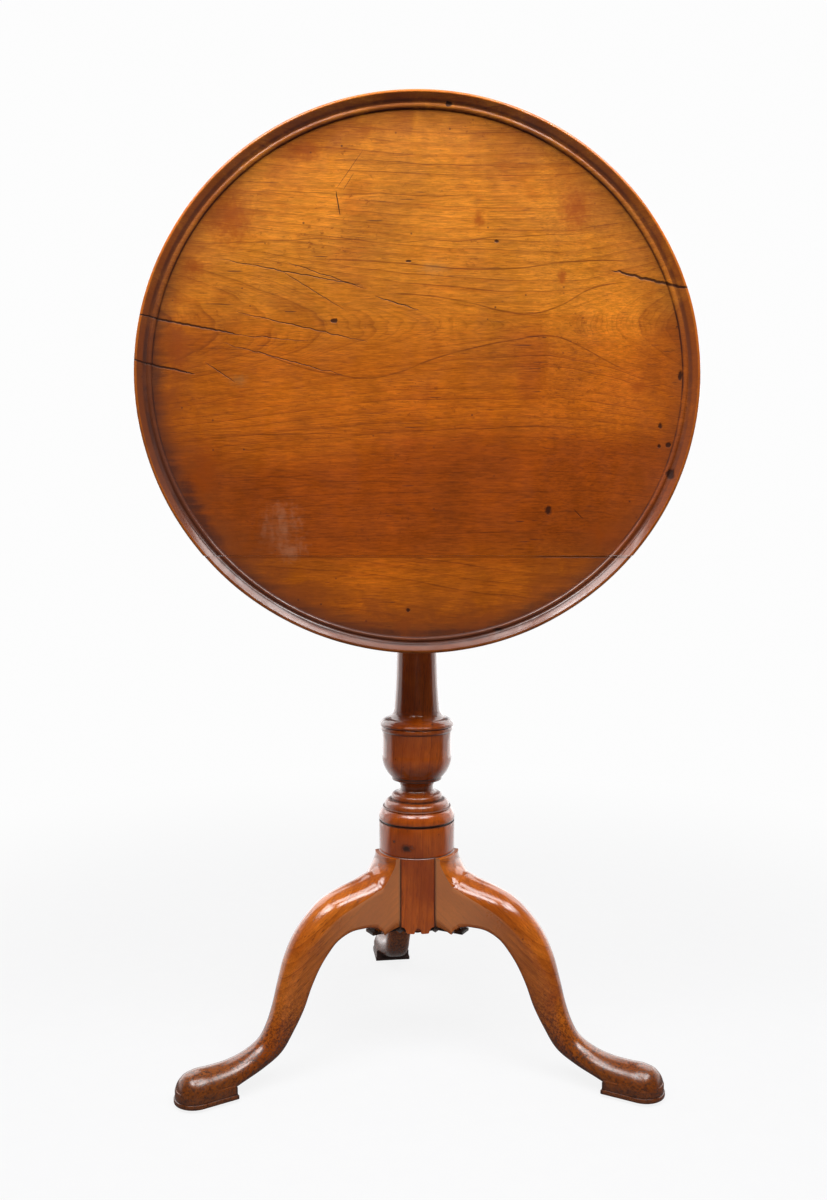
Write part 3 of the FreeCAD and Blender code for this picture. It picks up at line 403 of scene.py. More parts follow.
def shaded(tone, shade):
    """A tone made darker or lighter by a value."""
    grey = made(shade.tree, "ShaderNodeCombineXYZ", 0, {0: shade, 1: shade, 2: shade})
    return blend(1.0, tone, grey, "MULTIPLY")


def cloud(vector, scale, detail=2.0, roughness=0.5, distortion=0.0):
    return made(vector.tree, "ShaderNodeTexNoise", "Fac", {
        "Vector": vector, "Scale": scale, "Detail": detail, "Roughness": roughness, "Distortion": distortion,
    })


def stretched(vector, scale, place=(0, 0, 0), turn=(0, 0, 0)):
    return made(vector.tree, "ShaderNodeMapping", 0, {
        "Vector": vector, "Location": place, "Rotation": turn, "Scale": scale})


def moved(vector, place, turn=(0, 0, 0)):
    return stretched(vector, (1, 1, 1), place, turn)


def smears(vector, scale, place=(0, 0, 0), detail=2.0, roughness=0.5, distortion=0.0):
    """Cloud drawn out along the axes where its scale is small."""
    return cloud(stretched(vector, scale, place), 1.0, detail, roughness, distortion)


def parts_of(vector):
    return [Flow(socket) for socket in put(vector.tree, "ShaderNodeSeparateXYZ", {"Vector": vector}).outputs]


def kept(tree, name, output="Fac"):
    """A value that the mesh keeps at each of its points."""
    return made(tree, "ShaderNodeAttribute", output, attribute_name=name)


def object_place(tree):
    return made(tree, "ShaderNodeTexCoord", "Object")


def new_group(name, inputs, outputs):
    """A new group's given flows by name, and the sockets of its results."""
    tree = bpy.data.node_groups.new(name, "ShaderNodeTree")
    for label, kind, default in inputs:
        socket = tree.interface.new_socket(label, in_out="INPUT", socket_type=kind)
        if default is not None:
            socket.default_value = default
    for label in outputs:
        tree.interface.new_socket(label, in_out="OUTPUT", socket_type="NodeSocketFloat")
    given = {socket.name: Flow(socket) for socket in tree.nodes.new("NodeGroupInput").outputs if socket.name}
    return given, tree.nodes.new("NodeGroupOutput").inputs


def placed(group, **inputs):
    """The flows out of one use of a group, with its own values."""
    node = put(tree_of(inputs.values()), "ShaderNodeGroup", node_tree=bpy.data.node_groups[group])
    give(node.inputs, **inputs)
    return {socket.name: Flow(socket) for socket in node.outputs}


FLOAT, VECTOR = "NodeSocketFloat", "NodeSocketVector"
# Least width of a line and least bend of a ring, so that neither divides by zero
HAIR = 0.00002


def grain_group():
    """Sawn wood: ring lines, fibres, pores and cross mottle.

    A ring line joins the points of one distance from a long flat heart; where Saddle is 1 the distance along
    the grain counts against the one across it, so that the lines arch towards and away from a narrow waist.
    """
    given, result = new_group("sawn grain", [
        ("Grain", VECTOR, None), ("Spacing", FLOAT, 0.012), ("Heart", FLOAT, 0.12), ("Waver", FLOAT, 0.008),
        ("Saddle", FLOAT, 0.0),
    ], ["Rings", "Late", "Fibres", "Pores", "Mottle"])
    grain = given["Grain"]
    along, _, across = parts_of(grain)
    waver = smears(grain, (4, 10, 16), detail=3.0)
    fine_waver = smears(grain, (16, 40, 70))
    drift = (fine_waver - 0.5) * 0.0035 + (waver - 0.5) * given["Waver"]
    reach = along * given["Heart"]
    square = across * across + reach * reach * (given["Saddle"] * -2.0 + 1.0)
    ring = square / maths("SQRT", abs(square) + HAIR) + drift
    count = ring / given["Spacing"]
    part, number = maths("FRACT", count), maths("FLOOR", count)
    chance = made(grain.tree, "ShaderNodeTexWhiteNoise", "Value", {"W": number}, noise_dimensions="1D")
    late = between(part, 0.30, 0.94, 0.965, 1.0)
    line = between(part, 0.84, 0.955, 0.968, 1.0)
    broken = smears(grain, (14, 40, 60), (3, 1, 2))
    strong = (chance * 0.85 + 0.10) * rise(broken, 0.30, 0.62, 0.15, 1.0)
    fine_line = between(maths("FRACT", count * 4.3), 0.55, 0.92, 0.94, 1.0)
    faint = fine_line * rise(broken, 0.42, 0.66, 0.06, 0.34)
    streaks = smears(grain, (52, 300, 520), detail=4.0, roughness=0.66)
    threads = smears(grain, (120, 900, 1150), (2, 5, 1), 3.0, 0.7)
    pores = smears(grain, (75, 950, 950), (7, 2, 5), 1.0)
    give(
        result, rings=most(line * strong, faint), late=late * (chance * 0.6 + 0.4),
        fibres=streaks * 0.5 + threads * 0.5, pores=rise(pores, 0.64, 0.73),
        mottle=smears(grain, (34, 8, 7), (1, 4, 9), 3.0, 0.55, 0.4))


def patina_group():
    """Long use: soft blotches, dark specks, fine hairline scratches and smears of the polish."""
    given, result = new_group("patina", [
        ("Place", VECTOR, None), ("Specks", FLOAT, 0.5)], ["Blotch", "Specks", "Hairlines", "Smear"])
    place = given["Place"]
    dots = put(place.tree, "ShaderNodeTexVoronoi", {"Vector": place, "Scale": 130.0, "Randomness": 1.0}).outputs
    chosen = parts_of(Flow(dots["Color"]))[0]
    few = rise(chosen, 1.0 - given["Specks"] * 0.25, 1.0)
    hair = made(place.tree, "ShaderNodeTexVoronoi", "Distance", {
        "Vector": stretched(place, (26, 26, 150), (0, 0, 0), (0.3, 0.9, 0.2)), "Scale": 1.0,
    }, feature="DISTANCE_TO_EDGE")
    patch = rise(cloud(place, 9.0), 0.55, 0.72)
    give(
        result, blotch=cloud(place, 13.0, 4.0, 0.55, 0.6), specks=rise(Flow(dots["Distance"]), 0.20, 0.08) * few,
        hairlines=rise(hair, 0.012, 0.002) * patch,
        smear=smears(place, (30, 60, 22), detail=4.0, roughness=0.6, distortion=1.2))


def split_group():
    """A crack or scratch: a line from a start point at a slope, wavering, widest in its middle."""
    given, result = new_group("split line", [
        ("Place", VECTOR, None), ("Start X", FLOAT, 0), ("Start Z", FLOAT, 0), ("Length", FLOAT, 0.05),
        ("Slope", FLOAT, 0), ("Width", FLOAT, 0.001), ("Waver", FLOAT, 0.002), ("Bends", FLOAT, 70.0)], ["Line"])
    x, _, z = parts_of(given["Place"])
    across, up = x - given["Start X"], z - given["Start Z"]
    cosine, sine = maths("COSINE", given["Slope"]), maths("SINE", given["Slope"])
    run = across * cosine + up * sine
    part = run / given["Length"]
    waver = made(x.tree, "ShaderNodeTexNoise", "Fac", {
        "W": run * given["Bends"] + given["Start X"] * 900, "Scale": 1.0, "Detail": 2.0,
    }, noise_dimensions="1D")
    off = (waver - 0.5) * given["Waver"] + (up * cosine - across * sine)
    belly = part * (1.0 - part) * 4.0
    wide = given["Width"] * maths("SQRT", most(belly, 0.0))
    inside = (part > 0.0) * (part < 1.0)
    give(result, line=rise(abs(off) / (wide + HAIR), 1.0, 0.35) * inside)


def spot_group():
    """A dent, burn or smudge: a ragged oval at one place."""
    given, result = new_group("old spot", [
        ("Place", VECTOR, None), ("X", FLOAT, 0), ("Z", FLOAT, 0), ("Half Width", FLOAT, 0.004),
        ("Half Height", FLOAT, 0.003), ("Softness", FLOAT, 0.3)], ["Spot"])
    x, _, z = parts_of(given["Place"])
    off = far_from((x - given["X"]) / given["Half Width"], (z - given["Z"]) / given["Half Height"])
    off = (cloud(given["Place"], 260.0, 3.0) - 0.5) * 1.1 + off
    give(result, spot=rise(off, 1.0, 1.0 - given["Softness"]))


def weathered_group():
    """Metal long untouched: patches of tarnish or rust, hammer hollows and rubbed streaks."""
    given, result = new_group("weathered metal", [
        ("Place", VECTOR, None), ("Patch Scale", FLOAT, 60.0)], ["Patches", "Hollows", "Rubs"])
    place = given["Place"]
    patch = cloud(place, given["Patch Scale"], 5.0, 0.62, 0.5)
    hollows = made(place.tree, "ShaderNodeTexVoronoi", "Distance", {"Vector": place, "Scale": 210.0},
                   feature="SMOOTH_F1")
    give(result, patches=rise(patch, 0.40, 0.66), hollows=hollows,
         rubs=smears(place, (900, 120, 60), detail=3.0))


def new_material(name, **fixed):
    material = bpy.data.materials.new(name)
    material.use_nodes = True
    tree = material.node_tree
    shader = tree.nodes["Principled BSDF"]
    give(shader.inputs, **fixed)
    return material, tree, shader


def finished(shader, tone, roughness, relief, depth, strength=1.0, **others):
    """Feed a shader its tone, its roughness and the bumps of a relief so deep."""
    bump = made(relief.tree, "ShaderNodeBump", 0, {"Height": relief, "Distance": depth, "Strength": strength})
    give(shader.inputs, base_color=tone, roughness=roughness, normal=bump, **others)


# Cracks and scratches of the top: start across and up from its middle, end across and up, width, waver
SPLITS = {
    "right split": ((0.194, 0.1075), (0.279, 0.0865), 0.0021, 0.0050),
    "left rim split": ((-0.290, 0.0615), (-0.180, 0.0415), 0.0015, 0.0036),
    "left rim split tail": ((-0.190, 0.0420), (-0.110, 0.0350), 0.0005, 0.0030),
    "lower left rim split": ((-0.292, 0.0165), (-0.225, 0.0020), 0.0015, 0.0030),
    "long scratch": ((-0.200, 0.1160), (-0.055, 0.0900), 0.0007, 0.0030),
    "second scratch": ((-0.132, 0.1130), (-0.052, 0.0870), 0.0006, 0.0022),
    "steep scratch": ((-0.142, 0.1070), (-0.074, 0.0660), 0.0005, 0.0012),
    "middle scratch": ((-0.184, 0.0640), (-0.052, 0.0350), 0.0007, 0.0035),
    "low scratch": ((-0.196, 0.0330), (-0.075, 0.0010), 0.0006, 0.0035),
    "short split": ((-0.045, 0.0800), (0.000, 0.0670), 0.0008, 0.0025),
    "upright scratch": ((-0.083, 0.1830), (-0.079, 0.1590), 0.0009, 0.0010),
    "fine stroke": ((-0.056, 0.2230), (-0.083, 0.1850), 0.0003, 0.0006),
    "fine stroke beside": ((-0.065, 0.2010), (-0.076, 0.1840), 0.0003, 0.0006),
    "left knife mark": ((-0.215, 0.0140), (-0.185, -0.0060), 0.0006, 0.0016),
    "right knife mark": ((0.158, -0.1330), (0.168, -0.1430), 0.0005, 0.0008),
    "glue line right": ((0.115, -0.1815), (0.222, -0.1820), 0.0008, 0.0006),
}
# Strong growth lines of the top's figure, measured as the cracks are
FIGURE_LINES = {
    "upper long line": ((-0.240, 0.1310), (-0.030, 0.1370), 0.0008, 0.0090),
    "upper middle line": ((-0.020, 0.1330), (0.160, 0.1430), 0.0008, 0.0100),
    "high line": ((-0.180, 0.1820), (0.060, 0.1790), 0.0007, 0.0090),
    "higher line": ((-0.090, 0.2130), (0.110, 0.2080), 0.0007, 0.0080),
    "low line": ((-0.235, -0.0590), (-0.040, -0.0560), 0.0008, 0.0090),
    "low right line": ((-0.030, -0.0540), (0.190, -0.0480), 0.0008, 0.0090),
    "lower line": ((-0.200, -0.1010), (0.020, -0.1060), 0.0008, 0.0080),
}
# Growth lines that arch over and under the waist of the figure: points across and up from the top's middle
FIGURE_CURVES = {
    "lower arch": ((-0.176, 0.0300), (-0.117, 0.0085), (-0.082, 0.0015), (-0.051, -0.0012), (-0.020, 0.0046),
                   (0.010, 0.0162), (0.049, 0.0277), (0.095, 0.0373), (0.137, 0.0412), (0.160, 0.0323),
                   (0.191, 0.0162), (0.223, 0.0008)),
    "upper bow": ((-0.044, 0.0815), (-0.001, 0.0815), (0.049, 0.0746), (0.083, 0.0670), (0.114, 0.0642),
                  (0.145, 0.0738), (0.172, 0.0885), (0.199, 0.0946), (0.223, 0.0960)),
    "high wave": ((-0.117, 0.1170), (-0.020, 0.1130), (0.045, 0.1077), (0.099, 0.1090), (0.152, 0.1160),
                  (0.223, 0.1170)),
}
# Spots of the top: across and up from its middle, half width, half height, softness
DARK_SPOTS = {
    "burn": ((-0.0850, 0.0556), 0.0042, 0.0026, 0.35),
    "small burn": ((-0.0110, 0.1150), 0.0035, 0.0014, 0.4),
    "right hole": ((0.2560, -0.0975), 0.0050, 0.0065, 0.4),
    "right dot": ((0.2540, -0.0675), 0.0036, 0.0030, 0.4),
    "right dot beside": ((0.2450, -0.0690), 0.0024, 0.0022, 0.4),
    "upper right dot": ((0.2455, -0.0480), 0.0030, 0.0032, 0.5),
    "low brown dot": ((0.1320, -0.1345), 0.0050, 0.0055, 0.6),
    "low dot": ((-0.0110, -0.2360), 0.0022, 0.0022, 0.4),
    "rim nick": ((0.0290, 0.2675), 0.0042, 0.0032, 0.4),
    "low rim nick": ((0.0810, -0.2560), 0.0060, 0.0022, 0.5),
    "right edge hole": ((0.2655, 0.0020), 0.0026, 0.0070, 0.5),
    "peg dot": ((0.0780, 0.1350), 0.0028, 0.0020, 0.4),
}
RED_SPOTS = {
    "red knot": ((0.1440, 0.1010), 0.0060, 0.0090, 0.8),
    "upper right stain": ((0.1570, 0.1660), 0.0240, 0.0300, 1.0),
    "right stain": ((0.2230, -0.0100), 0.0120, 0.0080, 1.0),
    "upper stain": ((0.0600, 0.1560), 0.0080, 0.0120, 1.0),
    "left stain": ((-0.2250, 0.1080), 0.0160, 0.0120, 1.0),
    "upper left stain": ((-0.1900, 0.1560), 0.0340, 0.0400, 1.0),
    "high left stain": ((-0.1180, 0.2220), 0.0300, 0.0150, 1.0),
    "lower left stain": ((-0.2180, -0.0950), 0.0240, 0.0420, 1.0),
    "lower right stain": ((0.1950, -0.1620), 0.0400, 0.0240, 1.0),
    "left edge stain": ((-0.2420, 0.0300), 0.0160, 0.0400, 1.0),
}
PALE_SPOTS = {
    "green smudge": ((0.0140, 0.1080), 0.0220, 0.0110, 1.0),
    "left green smudge": ((-0.1810, -0.0040), 0.0130, 0.0090, 1.0),
}
HAZE_SPOTS = {
    "wax haze": ((-0.1420, -0.1520), 0.0300, 0.0360, 1.0),
    "wax haze below": ((-0.1300, -0.1750), 0.0220, 0.0160, 1.0),
}


def marks(place, table):
    """Joined mask of a table of spots."""
    return most(*(
        placed("old spot", place=place, x=x, z=z, half_width=wide, half_height=high, softness=soft)["Spot"]
        for (x, z), wide, high, soft in table.values()))


def cracks(place, table, bends):
    """Joined mask of a table of split lines, with so many bends to the metre."""
    lines = []
    for start, end, width, waver in table.values():
        run, climb = end[0] - start[0], end[1] - start[1]
        lines.append(placed(
            "split line", place=place, start_x=start[0], start_z=start[1], length=math.hypot(run, climb),
            slope=math.atan2(climb, run), width=width, waver=waver, bends=bends)["Line"])
    return most(*lines)


def traced(x, z, table, width, fade=0.03):
    """Joined mask of a table of smooth curves, each a run of points across and up, faint at both ends."""
    lines = []
    for points in table.values():
        curve = put(x.tree, "ShaderNodeFloatCurve", {"Value": x * (0.5 / TRAY_RADIUS) + 0.5})
        stops = curve.mapping.curves[0].points
        spots = [(0.5 + 0.5 * across / TRAY_RADIUS, 0.5 + 0.5 * up / TRAY_RADIUS) for across, up in points]
        stops[0].location, stops[1].location = spots[0], spots[-1]
        for spot in spots[1:-1]:
            stops.new(*spot)
        curve.mapping.update()
        height = (Flow(curve.outputs[0]) - 0.5) * (2 * TRAY_RADIUS)
        start, end = points[0][0], points[-1][0]
        line = rise(abs(z - height), width, 0.25 * width)
        lines.append(line * rise(x, start, start + fade) * rise(x, end, end - fade))
    return most(*lines)


# Tints of dirt, dust and bloom, and of grime with painted shade in grooves
SMUDGE = (0.24, 0.17, 0.07)
WAX_BLOOM = (0.50, 0.28, 0.17)
OPEN_HOLE = (0.024, 0.007, 0.004)
GROOVE_GRIME_AND_SHADE = (0.020, 0.007, 0.004)
FOOT_SCUFF = (0.034, 0.009, 0.004)
GREY_BLOOM = (0.280, 0.160, 0.085)
FELT_FIBRE = (0.045, 0.040, 0.038)
FELT_DUST = (0.110, 0.095, 0.080)
DULL_STEEL = (0.06, 0.06, 0.09)
FLOOR_FLECK = (0.143, 0.143, 0.150)

# Waist of the top's figure, across and up from the top's middle, and the glue line's drop below it
WAIST, WAIST_UP = 0.12, 0.053
GLUE_DROP = 0.182
# Turn that stands the grain of a piece upright
UPRIGHT = (0, math.pi / 2, 0)


def tray_grain(place, lower):
    """Place in the tray's grain, measured from the waist of its figure.

    Right of the waist the figure is drawn closer, and the lower board has a figure of its own.
    """
    x, depth, z = parts_of(place)
    beyond = most(x - WAIST, 0.0)
    flowing = made(x.tree, "ShaderNodeCombineXYZ", 0, {0: x + beyond, 1: depth, 2: z})
    return made(x.tree, "ShaderNodeMix", 1, {
        0: lower, 4: moved(flowing, (-WAIST, 0.3, -WAIST_UP)), 5: moved(place, (0.4, 0.1, 0.33)),
    }, data_type="VECTOR")


def field_tone(sizes, place, lower, grain, streaks, wood, worn):
    """Tone of the tray's field: amber above, red below, with bands, ring lines, flecks, stains and haze."""
    x, _, z = parts_of(place)
    drift = smears(place, (2.2, 1, 9), detail=3.0)
    level = (drift - 0.5) * 0.16 + z
    streak = between(level, -0.020, -0.085, -0.150, -0.215) * rise(lower, 0.0, 1.0, 0.85, 0.3)
    bands = smears(grain, (5, 3, 60), detail=5.0, roughness=0.62)
    arches = traced(x, (drift - 0.5) * 0.008 + z, FIGURE_CURVES, 0.0011) * rise(streaks, 0.3, 0.6, 0.3, 0.75)
    # Paler towards the top: partly the wood's own tone, partly painted light from above
    tone = layered(
        blend(rise(level, -0.03, 0.13), sizes.amber, sizes.light),
        (streak, sizes.red),
        (rise(bands, 0.50, 0.74, 0.0, 0.34), sizes.red),
        (rise(worn["Blotch"], 0.50, 0.74) * 0.5, sizes.red),
        (wood["Late"] * 0.26, sizes.red),
        (wood["Rings"] * 0.72, sizes.line),
        (cracks(place, FIGURE_LINES, 12.0) * 0.55, sizes.line),
        (arches, sizes.line))
    broad = cloud(place, 7.5, 4.0, 0.6, 0.5)
    shade = rise(broad, 0.28, 0.72, 0.80, 1.12) * rise(wood["Mottle"], 0.25, 0.75, 0.94, 1.06)
    shade = shade * rise(streaks, 0.28, 0.72, 0.90, 1.08) * rise(wood["Fibres"], 0.34, 0.66, 0.72, 1.24)
    dashes = rise(smears(grain, (34, 20, 620), (1, 7, 4), 1.0), 0.70, 0.75) * rise(worn["Blotch"], 0.44, 0.60)
    spread = rise(cloud(place, 10.0, 3.0, 0.6, 0.3), 0.44, 0.66, 0.15, 1.0)
    flecks = rise(smears(place, (150, 100, 210), (3, 1, 8), 4.0, 0.7), 0.58, 0.68) * spread
    haze = marks(place, HAZE_SPOTS) * rise(worn["Smear"], 0.35, 0.65, 0.05, 0.28)
    return layered(
        shaded(tone, shade),
        (wood["Pores"] * 0.48, sizes.line),
        (dashes * 0.75, sizes.grime),
        (flecks * 0.6, sizes.line),
        (marks(place, RED_SPOTS) * 0.75, sizes.red),
        (marks(place, PALE_SPOTS) * 0.22, SMUDGE),
        (haze, WAX_BLOOM))


def clamped(flow, strength):
    return maths("MULTIPLY", flow, strength, clamp=True)


def rim_tone(tone, sizes, place, inward, rim, streaks, worn):
    """A tone darkened by hands towards the edge, grime in the rim's hollows, wear on its bead, painted light on
    its upper half.
    """
    x, _, z = parts_of(place)
    dirt = cloud(place, 30.0, 6.0, 0.66, 0.6)
    low_left = rise(x * 0.7 + z, 0.1, -0.28, 0.72, 1.3)
    handled = rise(inward, 0.08, 0.018) * rise(dirt, 0.3, 0.6, 0.1, 1.0) * low_left
    ragged = (streaks - 0.5) * 0.022 + ((dirt - 0.5) * 0.045 + inward)
    edge = rise(ragged, 0.035, 0.012) * rise(low_left, 0.6, 1.3, 0.35, 1.7)
    slope = between(inward, 0.0030, 0.0042, 0.0112, 0.0126) * rise(dirt, 0.25, 0.7, 0.1, 0.6)
    cove = between(inward, 0.0074, 0.0092, 0.0112, 0.0124) * low_left * rise(dirt, 0.28, 0.6, 0.25, 0.75)
    wander = (dirt - 0.5) * 0.0012 + inward
    foot = between(wander, 0.0162, 0.0168, 0.0174, 0.0180) * rise(dirt, 0.3, 0.58, 0.25, 0.85)
    bead = rise(inward, 0.004, 0.0028) * rise(worn["Smear"], 0.28, 0.6, 0.3, 1.0)
    tone = layered(
        tone,
        (clamped(handled, 0.78), sizes.edge),
        (clamped(edge, 0.5), sizes.grime),
        (rim * 0.14, sizes.edge),
        (slope, sizes.edge),
        (clamped(cove, 1.0), sizes.grime),
        (foot, sizes.grime),
        (bead * 0.75, sizes.amber))
    # Painted light: the rim is made up to 42 per cent lighter towards its upper half
    return shaded(tone, rim * rise(z, -0.08, 0.16) * 0.42 + 1.0)


def tray_material(sizes):
    """Waxed top: amber boards with ring lines, red streaks, rim grime, splits, burns and smudges."""
    material, tree, shader = new_material("waxed tray top", specular_ior_level=0.16, coat_roughness=0.14)
    place = moved(object_place(tree), (0, -TRAY_BACK, sizes.settle - TRAY_MIDDLE))
    x, depth, z = parts_of(place)
    lower = rise(z, -GLUE_DROP + 0.0005, -GLUE_DROP - 0.0005)
    grain = tray_grain(place, lower)
    streaks = smears(grain, (13, 5, 170), (5, 2, 3), 4.0, 0.6)
    wood = placed("sawn grain", grain=grain, spacing=0.0105, heart=0.20, waver=0.015, saddle=1.0 - lower)
    worn = placed("patina", place=place, specks=0.35)
    inward = sizes.radius - far_from(x, z / sizes.shrinkage)
    rim = rise(inward, 0.0176, 0.016)
    tone = field_tone(sizes, place, lower, grain, streaks, wood, worn)
    tone = rim_tone(tone, sizes, place, inward, rim, streaks, worn)

    holes = most(cracks(place, SPLITS, 70.0), marks(place, DARK_SPOTS))
    behind = rise(depth, -0.005, -0.0015)
    dry = layered(
        sizes.back,
        (wood["Late"] * 0.6, sizes.line),
        (rise(wood["Fibres"], 0.35, 0.75, 0.0, 0.35), sizes.grime))
    tone = layered(
        tone,
        (rise(abs(z + GLUE_DROP), 0.0011, 0.0003) * 0.55, sizes.line),
        (worn["Specks"] * 0.8, sizes.grime),
        (worn["Hairlines"] * 0.3, sizes.line),
        (holes * 0.9, OPEN_HOLE),
        (behind, dry))
    polish = most(rise(worn["Smear"], 0.25, 0.75, 0.34, 0.52), behind * 0.72)
    waxing = rise(worn["Smear"], 0.35, 0.62, 0.35, 1.0) * rise(abs(x), 0.03, 0.12, 0.25, 1.0)
    relief = wood["Fibres"] * 0.25 + worn["Blotch"] * 0.3
    relief = relief - wood["Pores"] * 0.35 - holes * 2.5 - worn["Hairlines"] * 0.5
    finished(shader, tone, polish, relief, 0.00018, 0.6, coat_weight=rim * rise(behind, 1.0, 0.0) * waxing)
    return material


def polished_material(name, sizes, grain, grooves, spacing, figure, dull=None, feet=None):
    """Polished wood: grain, worn crowns, grime and painted shade in the grooves, duller flats and scuffed feet."""
    material, tree, shader = new_material(name, specular_ior_level=0.7)
    wood = placed("sawn grain", grain=grain(tree), spacing=spacing, heart=0.1, waver=0.012)
    worn = placed("patina", place=object_place(tree), specks=0.6)
    tone = layered(
        blend(rise(worn["Blotch"], 0.35, 0.68), sizes.wood, sizes.glow),
        (wood["Late"] * (0.9 * figure), sizes.wood),
        (wood["Rings"] * (0.9 * figure), sizes.dark))
    # Grime, with painted shade in grooves, recesses and the heel's end face
    dirt = grooves(tree, worn)
    tone = layered(
        shaded(tone, rise(wood["Fibres"], 0.3, 0.7, 1 - 0.4 * figure, 1 + 0.3 * figure)),
        (wood["Pores"] * figure, sizes.dark),
        (worn["Specks"] * 0.75, sizes.dark),
        (dirt, GROOVE_GRIME_AND_SHADE))
    polish = rise(worn["Smear"], 0.25, 0.78, 0.1, 0.19)
    if dull:
        flat = dull(tree)
        tone, polish = blend(flat * 0.55, tone, sizes.dusty), flat * 0.22 + polish
    if feet:
        scuff = feet(tree, worn)
        tone, polish = blend(scuff, tone, FOOT_SCUFF), scuff * 0.15 + polish
    relief = wood["Fibres"] * 0.22 + worn["Blotch"] * 0.45 - wood["Pores"] * 0.4 - worn["Specks"] * 0.8
    finished(shader, tone, dirt * 0.3 + polish, relief, 0.00014, 0.6)
    return material


def dry_wood_material(fittings):
    """Plain unpolished wood with open grain and grey bloom."""
    material, tree, shader = new_material("dry frame wood", specular_ior_level=0.35)
    place = object_place(tree)
    grain = moved(place, (0.31, 0.22, 0.17), UPRIGHT)
    wood = placed("sawn grain", grain=grain, spacing=0.006, heart=0.08, waver=0.01)
    worn = placed("patina", place=place, specks=0.5)
    tone = layered(
        fittings.dry_wood,
        (wood["Late"] * 0.55, fittings.dry_line),
        (wood["Rings"] * 0.5, fittings.dry_line),
        (rise(wood["Fibres"], 0.3, 0.75, 0.0, 0.45), fittings.dry_line),
        (rise(worn["Blotch"], 0.52, 0.8, 0.0, 0.35), GREY_BLOOM),
        (worn["Specks"] * 0.7, fittings.dry_line))
    roughness = rise(worn["Smear"], 0.2, 0.8, 0.58, 0.8)
    finished(shader, tone, roughness, wood["Fibres"] - wood["Pores"] * 0.6, 0.0006, 0.7)
    return material


def metal_material(name, bright, dull, metallic, smooth, rough, patch_scale, hollow_depth):
    """Weathered metal: bright where rubbed, dull in patches, with shallow hammer hollows."""
    material, tree, shader = new_material(name)
    worn = placed("weathered metal", place=object_place(tree), patch_scale=patch_scale)
    tone = layered(bright, (worn["Patches"], dull), (rise(worn["Rubs"], 0.45, 0.8, 0.0, 0.35), bright))
    roughness = rise(worn["Patches"], 0.0, 1.0, smooth, rough)
    relief = worn["Rubs"] * 0.3 + worn["Hollows"]
    finished(shader, tone, roughness, relief, hollow_depth, 0.7,
             metallic=rise(worn["Patches"], 0.0, 1.0, metallic, metallic * 0.55))
    return material


def felt_material(fittings):
    """Matted black felt: tangled fibres and pale dust."""
    material, tree, shader = new_material("black felt", sheen_weight=0.4, sheen_roughness=0.5)
    place = object_place(tree)
    tangle, dust = cloud(place, 1400.0, 4.0, 0.7, 1.5), cloud(place, 160.0, 4.0)
    tone = layered(
        fittings.felt,
        (rise(tangle, 0.3, 0.75), FELT_FIBRE),
        (rise(dust, 0.58, 0.78, 0.0, 0.4), FELT_DUST))
    finished(shader, tone, rise(tangle, 0.2, 0.8, 0.85, 0.98), tangle, 0.0006)
    return material


# Pieces

# Carving of the tray: rounding of its small corners, depth of the rim's waver out and down, swell of the field
CORNER_EASE, RIM_WAVER, RIM_DIP, FIELD_SWELL = 0.00035, 0.0005, 0.00025, 0.00012


def rim_profile(sizes):
    """Half section of the tray from the middle of its back, round its edge and rim, to the field's middle.

    Each point is a distance from the middle and a height above the underside: a rounded back edge, the
    upright side, the rounded top edge, a slope, the cove, the small inner bead and the flat field.
    """
    radius, thick, rim, dish = sizes.radius, sizes.thickness, sizes.rim, sizes.dish

    def at(inward, down):
        return radius - inward * rim, thick - down * dish

    edge = sizes.edge_round
    back_round = arc((radius - edge, 0), (radius - 0.293 * edge, 0.293 * edge), (radius, edge), 9)
    bead = arc(at(0, 0.30), at(0.040, 0.090), at(0.130, 0), 8)
    brow = arc(at(0.130, 0), at(0.170, 0.018), at(0.205, 0.07), 5)[1:]
    slope = arc(at(0.205, 0.07), at(0.335, 0.285), at(0.460, 0.52), 8)[1:]
    cove = arc(at(0.460, 0.52), at(0.530, 0.670), at(0.620, 0.74), 7)[1:]
    inner_bead = arc(at(0.62, 0.74), at(0.74, 0.66), at(0.87, 0.84), 9)
    field_edge = radius - 0.90 * rim
    field = np.stack([np.linspace(field_edge, 0, 15), np.full(15, thick - dish)], axis=1)
    back = np.stack([np.linspace(0, radius - edge, 9)[:-1], np.zeros(8)], axis=1)
    return np.concatenate([
        back, back_round, [(radius, 0.5 * thick)], bead, brow, slope, cove, inner_bead[1:], field])


def tray_grid(sizes, inset):
    """The rim's half section turned about the tray's axis, wavering a little as a carved rim does.

    Point at turn t and section (r, h): across r cos t, up r sin t times the shrinkage, front h; the rim
    falls short by a slow sum of waves, and the field sinks and swells by a few hundredths of a millimetre.
    """
    profile = eased(rim_profile(sizes), CORNER_EASE)
    turn = np.linspace(0, math.tau, 384, endpoint=False)
    out, high = profile[:, :1], profile[:, 1:]
    waves = 0.5 + 0.25 * np.sin(3 * turn + 0.7) + 0.15 * np.sin(7 * turn + 2.1) + 0.10 * np.sin(17 * turn)
    near_rim = ramped(out, sizes.radius - 2 * sizes.rim, sizes.radius)
    reach = out - (RIM_WAVER * waves + inset) * near_rim
    front = ramped(high, 0.3 * sizes.thickness, 0.6 * sizes.thickness)
    across, up = reach * np.cos(turn), reach * np.sin(turn) * sizes.shrinkage
    swell = np.sin(31 * across + 1) * np.sin(47 * up + 2) + 0.6 * np.sin(83 * up + 40 * across)
    level = high - front * (FIELD_SWELL * (swell + 1.6) + (RIM_DIP * waves + 0.5 * inset) * near_rim)
    return np.stack([across, TRAY_BACK - level, TRAY_MIDDLE - sizes.settle + up], axis=-1)


